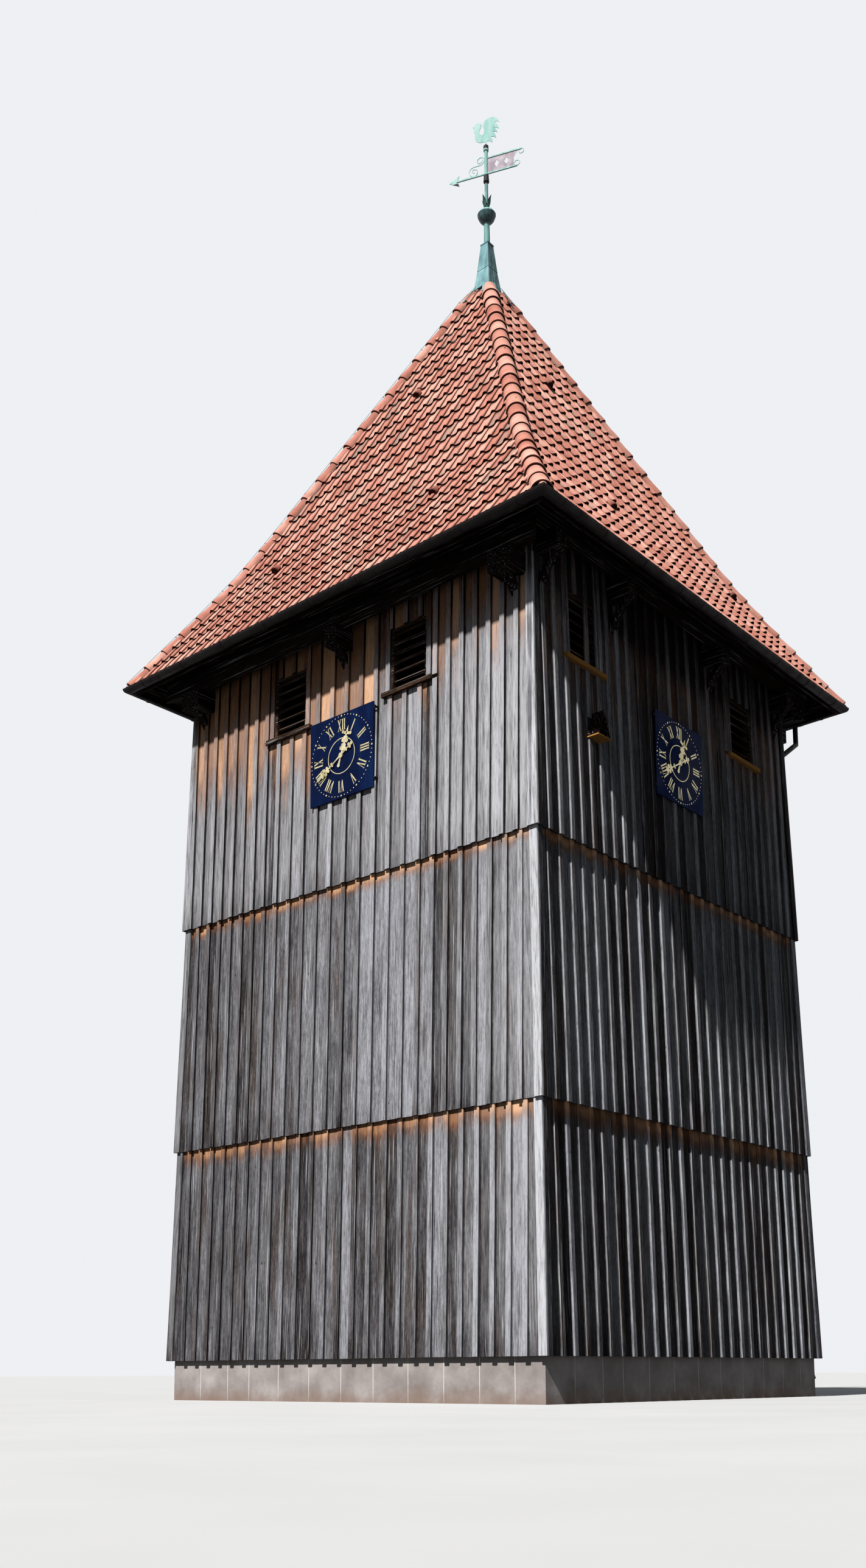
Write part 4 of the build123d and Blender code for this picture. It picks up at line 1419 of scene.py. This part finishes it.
@dataclass
class DialMarks:
    """Roman numerals, minute dots and the inner ring of a square dial."""

    face: float = 3.3051
    centre_z: float = 8.703
    foot_radius: float = 0.354
    height: float = 0.168
    thick: float = 0.018
    thin: float = 0.007
    minutes: int = 60
    dot_radius: float = 0.572
    hour_dot: float = 0.011
    minute_dot: float = 0.0075
    ring_radius: float = 0.250
    ring_wide: float = 0.011
    relief: float = 0.0015
    numerals: tuple[str, ...] = (
        "XII", "I", "II", "III", "IV", "V", "VI", "VII", "VIII", "IX", "X", "XI",
    )

    def stroke(self, x0: float, x1: float, wide: float) -> list[tuple[float, float]]:
        """A slanting stroke from foot to head.

        Args:
            x0: Its middle at the foot.
            x1: Its middle at the head.
            wide: Its width.

        Returns:
            Its outline.
        """
        half = wide / 2
        return [(x0 - half, 0.0), (x0 + half, 0.0), (x1 + half, self.height), (x1 - half, self.height)]

    def serif(self, x: float, y: float, half: float) -> list[tuple[float, float]]:
        """A thin bar across a stroke's end.

        Args:
            x: Its middle.
            y: Its foot.
            half: Half its length.

        Returns:
            Its outline.
        """
        deep = 0.006
        return [(x - half, y), (x + half, y), (x + half, y + deep), (x - half, y + deep)]

    def letter(self, sign: str) -> tuple[float, list[list[tuple[float, float]]]]:
        """A letter's advance and its outlines.

        Args:
            sign: I, V or X.

        Returns:
            How wide it is, and its strokes from the left edge.
        """
        head = self.height - 0.006
        if sign == "I":
            return 0.036, [self.stroke(0.018, 0.018, self.thick), self.serif(0.018, 0, 0.015),
                           self.serif(0.018, head, 0.015)]
        if sign == "V":
            return 0.082, [self.stroke(0.042, 0.018, self.thick), self.stroke(0.044, 0.066, self.thin),
                           self.serif(0.018, head, 0.017), self.serif(0.066, head, 0.012)]
        return 0.082, [self.stroke(0.066, 0.018, self.thick), self.stroke(0.018, 0.066, self.thin),
                       self.serif(0.018, head, 0.017), self.serif(0.066, head, 0.012),
                       self.serif(0.018, 0, 0.012), self.serif(0.066, 0, 0.017)]

    def spoke(self, degrees: float) -> tuple[Vector, Vector]:
        """The directions out from the dial's centre and round it.

        Args:
            degrees: The turn from twelve.

        Returns:
            Outward and clockwise.
        """
        angle = math.radians(degrees)
        sine, cosine = math.sin(angle), math.cos(angle)
        return Vector((sine, cosine)), Vector((cosine, -sine))

    def plate(self, draft: Draft, outline: Sequence[Sequence[float]]) -> None:
        """Adds a flat mark on the front dial.

        Args:
            draft: The piece that it joins.
            outline: Its outline, from the dial's centre.
        """
        corners = [Vector((x, -self.face - self.relief, self.centre_z + y)) for x, y in outline]
        draft.slab(corners, Vector((0, self.relief, 0)))

    def build(self, side: Side) -> Draft:
        """All marks of one dial.

        Args:
            side: The side.

        Returns:
            The gathered faces.
        """
        draft = Draft(f"dial_marks_{side.label}")
        for hour, numeral in enumerate(self.numerals):
            radial, tangent = self.spoke(30 * hour)
            letters = [self.letter(sign) for sign in numeral]
            x = -sum(advance for advance, _ in letters) / 2
            for advance, outlines in letters:
                for outline in outlines:
                    self.plate(
                        draft,
                        [radial * (self.foot_radius + b) + tangent * (x + a) for a, b in outline],
                    )
                x += advance
        for minute in range(self.minutes):
            radial, tangent = self.spoke(6 * minute)
            corners, reach = (4, self.hour_dot * math.sqrt(2)) if minute % 5 == 0 else (8, self.minute_dot)
            around = [math.pi / 4 + 2 * math.pi * step / corners for step in range(corners)]
            middle = radial * self.dot_radius
            steps = [(reach * math.sin(a), reach * math.cos(a)) for a in around]
            self.plate(draft, [middle + radial * out + tangent * along for out, along in steps])
        for step in range(self.minutes):
            ends = [2 * math.pi * (step + part) / self.minutes for part in (0, 1)]
            radii = (self.ring_radius - self.ring_wide / 2, self.ring_radius + self.ring_wide / 2)
            quad = [(radii[0], ends[0]), (radii[1], ends[0]), (radii[1], ends[1]), (radii[0], ends[1])]
            self.plate(draft, [(radius * math.sin(a), radius * math.cos(a)) for radius, a in quad])
        return draft

    def dress(self, finish: bpy.types.Material) -> None:
        """Makes the marks of both dials.

        Args:
            finish: The gilding.
        """
        for side in (Side.FRONT, Side.RIGHT):
            self.build(side).make(finish, "hand_gilt", turn=side.turn)


@dataclass
class Rainwater:
    """Straps and seams of the gutters."""

    centre: float = 3.9209
    lip_z: float = 10.692
    radius: float = 0.077
    strap_wide: float = 0.026
    strap_sheet: float = 0.004
    straps: int = 9
    strap_reach: float = 3.55
    seams: tuple[float, ...] = (-3.2, -0.35, 2.4)
    seam_wide: float = 0.05
    seam_sheet: float = 0.002
    around: int = 10

    def band(self, draft: Draft, x: float, wide: float, sheet: float, tone: float) -> None:
        """Adds a strap round the outside of the front gutter.

        Args:
            draft: The piece that it joins.
            x: Its middle.
            wide: Its width.
            sheet: Its thickness.
            tone: Its tone.
        """
        rows = []
        for step in range(self.around + 1):
            angle = math.pi * (1 + step / self.around)
            row = []
            for reach, along in ((0, -1), (sheet, -1), (sheet, 1), (0, 1)):
                radius = self.radius + reach
                point = Vector(
                    (x + along * wide / 2, -self.centre + radius * math.cos(angle),
                     self.lip_z + radius * math.sin(angle))
                )
                row.append(Spot(point, point))
            rows.append(row)
        draft.loft(rows, tone, looped=True, capped=True)

    def dress(self, finish: bpy.types.Material) -> None:
        """Makes the straps and seams of the four gutters.

        Args:
            finish: The sheet.
        """
        for side in Side:
            draft = Draft(f"gutter_straps_{side.label}")
            for step in range(self.straps):
                x = -self.strap_reach + 2 * self.strap_reach * step / (self.straps - 1)
                self.band(draft, x, self.strap_wide, self.strap_sheet, 0.6)
            for x in self.seams:
                self.band(draft, x, self.seam_wide, self.seam_sheet, 0.9)
            draft.make(finish, "gutter_metal", turn=side.turn, smooth=40)


@dataclass
class Copperwork:
    """Laps of the copper cone, the flashing below it and an iron cramp."""

    slope: Slope
    foot: tuple[float, float] = (0.159, 17.64)
    seam: tuple[float, float] = (0.113, 17.992)
    top: tuple[float, float] = (0.070, 18.46)
    proud: float = 0.003
    lap: float = 0.016
    strip_wide: float = 0.05
    strip_lift: float = 0.08

    def shell(self, draft: Draft, levels: Sequence[tuple[float, float, float]]) -> None:
        """Adds a square sleeve.

        Args:
            draft: The piece that it joins.
            levels: Half width, height and darkening for dirt and painted shade, from the foot up.
        """
        rows = []
        for half, z, dirt in levels:
            corners = [Vector((x * half, y * half, z)) for x, y in ((1, -1), (1, 1), (-1, 1), (-1, -1))]
            rows.append([Spot(corner, corner, 0.0, dirt) for corner in corners])
        draft.loft(rows, 0.5, looped=True)

    def strip(
        self, draft: Draft, start: tuple[float, float], end: tuple[float, float], wide: float, lift: float
    ) -> None:
        """Adds a sheet strip that lies on the front slope's tiles.

        Args:
            draft: The piece that it joins.
            start: Its upper end, along the wall and down from the roof's top.
            end: Its lower end, in the same way.
            wide: Its width.
            lift: How far it stands off the slope's own line.
        """
        corners = []
        for u, down in (start, end):
            place, outward = self.slope.at(self.slope.length - down)
            flat = place + outward * lift
            corners.append([Vector((u + step * wide / 2, -flat.x, flat.y)) for step in (-1, 1)])
        (a, b), (c, d) = corners
        draft.slab([a, c, d, b], Vector((0, 0.004, -0.003)), dirt=0.3)

    def dress(self, finish: bpy.types.Material) -> None:
        """Makes the copper sheets.

        Args:
            finish: The copper.
        """
        draft = Draft("cone_laps")
        (seam_half, seam_z), (top_half, top_z) = self.seam, self.top
        # The laps' lower edges are darkened as painted shade under them.
        self.shell(draft, (
            (seam_half, seam_z - self.lap, 1.0),
            (seam_half + 2 * self.proud, seam_z - self.lap, 1.0),
            (seam_half + self.proud, seam_z, 0.1),
            (top_half + self.proud, top_z - self.lap, 0.2),
            (top_half + self.proud, top_z - self.lap, 1.0),
            (top_half + 3 * self.proud, top_z - self.lap, 1.0),
            (top_half + 3 * self.proud, top_z + self.proud, 0.3),
            (0.045, top_z + self.proud, 0.3),
        ))
        foot_half, foot_z = self.foot
        self.shell(draft, (
            (foot_half - self.lap, foot_z - self.proud, 1.0),
            (foot_half + self.proud, foot_z - self.proud, 1.0),
            (foot_half + self.proud, foot_z + self.lap / 2, 0.5),
            (foot_half - self.proud, foot_z + self.lap, 0.0),
        ))
        draft.make(finish, "copper_green")
        for side in Side:
            flashing = Draft(f"flashing_{side.label}")
            wide, lift = self.strip_wide, self.strip_lift
            for sign in (-1, 1):
                self.strip(flashing, (0.09 * sign, 0.05), (0.20 * sign, 0.34), wide, lift)
                self.strip(flashing, (0.19 * sign, 0.33), (0.25 * sign, 0.40), 0.11, lift + 0.01)
            flashing.make(finish, "copper_green", turn=side.turn)


@dataclass
class Conductor:
    """Lightning wire from the cone down the front left hip, on small holders."""

    hips: HipTiles
    start: tuple[float, float, float] = (0.165, -0.165, 17.67)
    stand: float = 0.012
    wire: float = 0.0035
    pin: float = 0.006
    holders: int = 8

    def dress(self, finish: bpy.types.Material) -> None:
        """Makes the wire with its holders.

        Args:
            finish: The metal.
        """
        draft = Draft("lightning_wire")
        ridge = self.hips.radius - self.hips.sink
        places = []
        for step in range(self.holders * 3 + 1):
            distance = (self.hips.length - 0.35) * (1 - step / (self.holders * 3))
            place, outward = walk(self.hips.line, distance)
            heights = [place + outward * (ridge + lift) for lift in (-0.02, self.stand)]
            low, high = (
                Vector((flat.x, -flat.x, flat.y * math.sqrt(2))) / math.sqrt(2) for flat in heights
            )
            places.append(high)
            if step % 3 == 0:
                draft.tube([low, high + (high - low) * 0.2], (self.pin, self.pin))
        path = [Vector(self.start), *places]
        draft.tube(path, [self.wire] * len(path))
        draft.make(finish, "copper_green", turn=Side.LEFT.turn, smooth=50)


@dataclass
class VentTiles:
    """Small hooded vents between the pantiles."""

    slope: Slope
    radius: float = 0.062
    length: float = 0.17
    lift: float = 0.055
    around: int = 8
    spots: dict[bool, tuple[tuple[float, float], ...]] = field(
        default_factory=lambda: {
            True: ((-0.255, 5.068), (1.506, 1.508), (-1.653, 1.640)),
            False: ((-0.415, 4.944), (-1.148, 1.586), (2.222, 1.714)),
        }
    )

    def hood(self, draft: Draft, u: float, distance: float) -> None:
        """Adds one hood, open down the slope.

        Args:
            draft: The piece that it joins.
            u: Where it sits along the wall.
            distance: How far up the slope its mouth lies.
        """
        rows = []
        # The mouth's inner rows are dark as painted shade in the opening.
        mouth = ((0.06, 0.78, 1.0), (0.0, 0.8, 1.0), (0.0, 1.0, 0.9))
        back = ((0.3, 0.95, 0.45), (0.7, 0.7, 0.3), (1.0, 0.25, 0.3))
        for share, size, dirt in mouth + back:
            place, outward = self.slope.at(distance + share * self.length)
            row = []
            for step in range(self.around + 1):
                angle = math.radians(-100 + 200 * step / self.around)
                flat = place + outward * (self.lift + size * self.radius * math.cos(angle))
                point = Vector((u + size * self.radius * math.sin(angle), -flat.x, flat.y))
                row.append(Spot(point, point, 0.2, dirt))
            rows.append(row)
        draft.loft(rows, 0.2, capped=True)

    def dress(self, finish: bpy.types.Material) -> None:
        """Makes the hoods of the four slopes.

        Args:
            finish: The clay.
        """
        for side in Side:
            draft = Draft(f"vent_tiles_{side.label}")
            for u, distance in self.spots[side.is_gable_pair]:
                self.hood(draft, u, distance)
            draft.make(finish, "roof_tile", turn=side.turn, smooth=45)


@dataclass
class IronFixings:
    """Dial brackets, pipe clips and the cramp on the roof."""

    slope: Slope
    dial_edge: float = 0.6
    dial_top: float = 9.303
    dial_face: float = 3.3051
    wall_face: float = -3.20
    pipe_x: float = 3.10
    pipe_foot: tuple[float, float] = (3.431, 0.56)
    pipe_head: tuple[float, float] = (3.323, 9.897)
    pipe_radius: float = 0.040
    clips: tuple[float, ...] = (1.3, 2.9, 4.5, 6.1, 7.7, 9.3)

    def block(self, draft: Draft, low: tuple[float, float, float], high: tuple[float, float, float]) -> None:
        """Adds a small straight bar.

        Args:
            draft: The piece that it joins.
            low: Its lowest corner.
            high: Its highest corner.
        """
        corners = [(low[0], low[1]), (high[0], low[1]), (high[0], high[1]), (low[0], high[1])]
        outline = [Vector((x, y, high[2])) for x, y in corners]
        draft.slab(outline, Vector((0, 0, low[2] - high[2])))

    def dress(self, finish: bpy.types.Material) -> None:
        """Makes all fixings.

        Args:
            finish: The iron.
        """
        for side, sign in ((Side.FRONT, 1), (Side.RIGHT, -1)):
            draft = Draft(f"dial_brackets_{side.label}")
            plate = sorted(sign * (self.dial_edge + past) for past in (-0.01, 0.034))
            stub = sorted(sign * (self.dial_edge + past) for past in (0.022, 0.034))
            front, back = -self.dial_face + 0.006, -self.dial_face + 0.012
            for z in (self.dial_top - 0.10, self.dial_top - 1.10):
                for (left, right), end in ((plate, back), (stub, self.wall_face)):
                    self.block(draft, (left, front, z), (right, end, z + 0.03))
            draft.make(finish, "gutter_metal", turn=side.turn)
        clips = Draft("pipe_clips")
        for z in self.clips:
            share = (z - self.pipe_foot[1]) / (self.pipe_head[1] - self.pipe_foot[1])
            y = self.pipe_foot[0] + share * (self.pipe_head[0] - self.pipe_foot[0])
            path = [Vector((self.pipe_x, y, z + step)) for step in (-0.016, -0.016, 0.016, 0.016)]
            inner, outer = self.pipe_radius, self.pipe_radius + 0.006
            clips.tube(path, (inner, outer, outer, inner), sides=16)
            left, right = self.pipe_x - 0.01, self.pipe_x + 0.01
            self.block(clips, (left, y - 0.12, z - 0.01), (right, y - 0.038, z + 0.01))
        clips.make(finish, "gutter_metal", smooth=40)
        cramp = Draft("roof_cramp")
        Copperwork(self.slope).strip(cramp, (0.02, 0.34), (0.05, 0.62), 0.05, 0.09)
        cramp.make(finish, "gutter_metal", turn=Side.RIGHT.turn)


@dataclass
class PlinthJoints:
    """Pale upright joints between the plinth's stones."""

    half: float = 3.3
    top: float = 0.56
    wide: float = 0.011
    proud: float = 0.0012
    places: tuple[float, ...] = (-2.725, -2.155, -1.720, -1.139, -0.558, 0.030, 0.60, 1.19, 1.77, 2.33, 2.86)

    def dress(self, finish: bpy.types.Material) -> None:
        """Makes the joints of the four sides.

        Args:
            finish: The mortar.
        """
        for side in Side:
            draft = Draft(f"plinth_joints_{side.label}")
            for x in self.places:
                y = -self.half - self.proud
                left, right = x - self.wide / 2, x + self.wide / 2
                corners = [(left, 0.0), (right, 0.0), (right, self.top), (left, self.top)]
                draft.slab([Vector((a, y, b)) for a, b in corners], Vector((0, self.proud + 0.002, 0)))
            draft.make(finish, "plinth_stone", turn=side.turn)


@dataclass
class Studio:
    """The floor, the light and the camera at the photograph's angle."""

    camera_place: tuple[float, float, float] = (13.533, -16.994, 0.359)
    turn: float = 0.7161445
    pitch: float = 0.14
    roll: float = -0.0048288
    lens: float = 34.015
    sensor: float = 36.0
    shift: float = 0.2428
    floor_reach: float = 400.0
    ground: Colour = paint(70, 70, 70)
    backdrop: Colour = paint(238, 240, 243)
    fill: Colour = (0.82, 0.92, 1.0, 1.0)
    fill_strength: float = 0.12
    key_strength: float = 4.75
    key_angle: float = 2.0
    key_colour: tuple[float, float, float] = (1.0, 0.975, 0.94)
    key_course: tuple[float, float, float] = (-0.085, 0.64, -0.762)

    def camera(self) -> None:
        """Sets up the camera."""
        level = Vector((math.cos(self.turn), math.sin(self.turn), 0))
        ahead = Vector((-math.sin(self.turn), math.cos(self.turn), 0))
        rise = Vector((0, 0, 1))
        look = ahead * math.cos(self.pitch) + rise * math.sin(self.pitch)
        over = rise * math.cos(self.pitch) - ahead * math.sin(self.pitch)
        across = level * math.cos(self.roll) + over * math.sin(self.roll)
        upward = over * math.cos(self.roll) - level * math.sin(self.roll)
        data = bpy.data.cameras.new("camera")
        data.sensor_width = self.sensor
        data.lens = self.lens
        data.shift_y = self.shift
        data.clip_end = 2000
        camera = bpy.data.objects.new("camera", data)
        bpy.context.scene.collection.objects.link(camera)
        turned = Matrix((across, upward, -look)).transposed().to_4x4()
        camera.matrix_world = Matrix.Translation(self.camera_place) @ turned
        bpy.context.scene.camera = camera

    def floor(self) -> None:
        """Lays the pale floor."""
        reach = self.floor_reach
        mesh = bpy.data.meshes.new("floor")
        corners = [(-reach, -reach, 0), (reach, -reach, 0), (reach, reach, 0), (-reach, reach, 0)]
        mesh.from_pydata(corners, [], [(0, 1, 2, 3)])
        nodes = Nodes("pale_floor")
        cloud = nodes.noise(nodes.place(GrainRun.ALONG_Z), 0.6, 3.0, 0.5)
        shown = nodes.ramp(cloud, ((0.3, paint(208, 209, 210)), (0.7, paint(214, 215, 216))))
        colour = nodes.mix(nodes.seen(), self.ground, shown)
        mesh.materials.append(nodes.surface(Base_Color=colour, Roughness=0.9, Specular_IOR_Level=0.1))
        floor = bpy.data.objects.new("floor", mesh)
        bpy.context.scene.collection.objects.link(floor)
        floor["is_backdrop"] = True

    def light(self) -> None:
        """Sets up a high key on the camera's left and an even pale surround."""
        world = bpy.data.worlds.new("pale_surround")
        bpy.context.scene.world = world
        world.use_nodes = True
        nodes = Nodes.over(world.node_tree)
        layers = []
        for colour, strength in ((self.fill, self.fill_strength), (self.backdrop, 1.0)):
            layer = nodes.add("ShaderNodeBackground")
            nodes.feed(layer.inputs[0], colour)
            nodes.feed(layer.inputs[1], strength)
            layers.append(layer.outputs[0])
        choice = nodes.add("ShaderNodeMixShader")
        for socket, value in zip(choice.inputs, (nodes.seen(), *layers)):
            nodes.feed(socket, value)
        nodes.feed(nodes.add("ShaderNodeOutputWorld").inputs[0], choice.outputs[0])
        key = bpy.data.lights.new("key", "SUN")
        key.energy = self.key_strength
        key.angle = math.radians(self.key_angle)
        key.color = self.key_colour
        lamp = bpy.data.objects.new("key", key)
        lamp.rotation_euler = Vector(self.key_course).to_track_quat("-Z", "Y").to_euler()
        bpy.context.scene.collection.objects.link(lamp)
        bpy.context.scene.view_settings.view_transform = "Standard"

    def build(self) -> None:
        """Sets up camera, floor and light."""
        self.camera()
        self.floor()
        self.light()


def dress_frame(board: bpy.types.Material) -> bpy.types.Material:
    """Gives the CAD nodes that stay their finishes.

    Args:
        board: The boards' wood.

    Returns:
        The copper of the cone, for the pieces beside it.
    """
    sides = [side.label for side in Side]
    dress(board, *(f"{tier}_wall_{side}" for tier in ("lower", "middle", "upper") for side in sides))
    # Their own dark wood, made darker still as painted shade under the roof.
    eaves = dict(dark=paint(18, 15, 14), mid=paint(46, 37, 32), pale=paint(84, 70, 60))
    wood = {
        key: WeatheredWood(f"eaves_wood_{key}", GrainRun(key), **eaves).material() for key in "xyz"
    }
    slats = {
        key: WeatheredWood(
            f"louvre_wood_{key}", GrainRun(key), dark=paint(46, 38, 32), mid=paint(98, 84, 72),
            pale=paint(150, 130, 112), base_shelter=0.2, bare_band=band,
        ).material()
        for key, band in (("x", None), ("y", (9.3, 9.37)))
    }
    dress(wood["y"], "lower_beams", "purlin_right", "purlin_left", "roof_right", "roof_left")
    dress(wood["x"], "upper_beams", "purlin_front", "purlin_back", "roof_front", "roof_back")
    dress(wood["z"], "knee_braces", "chamber_floor")
    dress(slats["x"], "louvres_front", "louvres_back")
    dress(slats["y"], "louvres_right", "louvres_left")
    dress(
        WeatheredWood(
            "nest_wood", GrainRun.ALONG_Z, dark=paint(26, 17, 16), mid=paint(52, 34, 30),
            pale=paint(84, 58, 44), bare_band=(8.37, 8.399),
        ).material(),
        "nest_box",
    )
    stone = SmoothStone("plinth_stone").material()
    dress(stone, *(f"plinth_{side}" for side in sides))
    sheet = SheetMetal("gutter_sheet", **SHEET_DARK, shine=0.6, gloss=0.1).material()
    dress(sheet, *(f"gutter_{side}" for side in sides), "downpipe")
    navy = SheetMetal(
        "dial_paint", dark=paint(5, 14, 42), mid=paint(9, 24, 62), pale=paint(20, 42, 86),
        shine=0.6, scale=3.0, relief=0.0006, gloss=0.03,
    ).material()
    dress(navy, "dial_front", "dial_right")
    green = SheetMetal(
        "verdigris", dark=paint(92, 134, 140), mid=paint(124, 170, 176), pale=paint(164, 210, 216),
        shine=0.62, scale=12.0, plus_x_trails=0.8,
    ).material()
    dress(green, "copper_cone")
    teal = SheetMetal(
        "teal_patina", dark=paint(66, 104, 106), mid=paint(112, 164, 164), pale=paint(150, 206, 200),
        shine=0.55, scale=14.0, collars=((19.56, 19.66),),
    ).material()
    dress(teal, "vane_spindle", smooth=True)
    ball = SheetMetal(
        "dark_patina", dark=paint(34, 52, 56), mid=paint(62, 90, 94), pale=paint(96, 132, 134),
        shine=0.45, scale=14.0, collars=((19.004, 19.12),), collar_paint=paint(140, 190, 190),
    ).material()
    dress(ball, "finial_ball", smooth=True)
    leaf = SheetMetal(
        "leaf_green", dark=paint(22, 50, 44), mid=paint(42, 84, 74), pale=paint(74, 128, 116),
        shine=0.5, scale=20.0,
    ).material()
    dress(leaf, "leaf_crown")
    mint = dict(dark=paint(104, 168, 162), mid=paint(156, 208, 202), pale=paint(206, 238, 232))
    frame_patina = SheetMetal(
        "mint_patina", **mint, shine=0.6, scale=16.0, collars=((19.6, 19.723), (20.196, 20.283)),
    ).material()
    dress(frame_patina, "vane_frame", smooth=True)
    dress(SheetMetal("rooster_patina", **mint, shine=0.6, scale=11.0).material(), "rooster")
    dress(
        SheetMetal(
            "pennant_copper", dark=paint(132, 118, 132), mid=paint(164, 148, 162), pale=paint(192, 178, 190),
            shine=0.5, scale=10.0,
        ).material(),
        "pennant",
    )
    return green


def main() -> None:
    """Builds every sub-assembly in order and reports each piece."""
    logging.basicConfig(level=logging.INFO, format="%(name)s %(message)s", stream=sys.stdout)
    Studio().build()
    board = WeatheredWood("weathered_board_wood").material()
    verdigris = dress_frame(board)
    gilt = SheetMetal(
        "pale_gilding", dark=paint(176, 160, 112), mid=paint(220, 208, 164), pale=paint(240, 232, 200),
        shine=0.4, metallic=0.65, scale=20.0, relief=0.0008,
    ).material()
    dress(gilt, "minute_hand_front", "hour_hand_front", "minute_hand_right", "hour_hand_right")
    lower = Cladding(
        "lower", 3.357, 0.554, 3.66, 3.564,
        dict.fromkeys((True, False), spaced(-3.046, (7, 0.2464), (10, 0.2664), (7, 0.2466))),
        warm_depth=0.42,
        darkening=0.08,
        seed=3,
    )
    middle = Cladding(
        "middle", 3.32326, 3.564, 7.0, 6.903,
        {
            True: spaced(-3.004, (7, 0.238), (10, 0.2692), (7, 0.2371)),
            False: spaced(-3.032, (7, 0.2439), (10, 0.2687), (7, 0.2416)),
        },
        seed=4,
    )
    upper = Cladding(
        "upper", 3.28145, 6.903, 11.2, 11.5,
        {
            True: (
                *spaced(-3.149, (7, 0.2256)), -1.307, -1.044, -0.782,
                *spaced(-0.519, (4, 0.2748)), 0.845, 1.110, 1.376, *spaced(1.641, (7, 0.2216)),
            ),
            False: (*spaced(-3.027, (8, 0.234)), *spaced(-0.893, (8, 0.2625)), *spaced(1.44, (7, 0.2268))),
        },
        openings={True: (-1.093, 1.165), False: (-2.156, 1.898)},
        under_eaves=True,
        darkening=-0.16,
        seed=5,
    )
    clay = FiredClay("fired_clay").material()
    slope = Slope()
    sheet = SheetMetal("strap_sheet", **SHEET_DARK, shine=0.6, gloss=0.1).material()
    mortar = SmoothStone("pale_mortar", shade=paint(222, 216, 210), body=paint(236, 231, 226)).material()
    pointing = SmoothStone(
        "roof_pointing", shade=paint(172, 140, 128), body=paint(204, 176, 164), light=paint(226, 204, 194),
    ).material()
    assemblies = (
        (PlinthJoints(), mortar),
        (lower, board),
        (middle, board),
        (upper, board),
        (Pantiles(slope), clay),
        (HipTiles(slope), clay),
        (DialMarks(), gilt),
        (Rainwater(), sheet),
        (VentTiles(slope), clay),
        (Copperwork(slope), verdigris),
        (HipCaps(HipTiles(slope), "mortar_cap", (Side.FRONT, Side.BACK), "roof_tile"), pointing),
        (HipCaps(HipTiles(slope), "copper_cap", (Side.RIGHT, Side.LEFT), "copper_green"), verdigris),
        (Conductor(HipTiles(slope)), verdigris),
        (IronFixings(slope), sheet),
    )
    for assembly, finish in assemblies:
        known = {piece.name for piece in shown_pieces()}
        assembly.dress(finish)
        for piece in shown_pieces():
            if piece.name not in known:
                log.info("%s: %d faces", piece.name, len(piece.data.polygons))


if __name__ == "__main__":
    main()
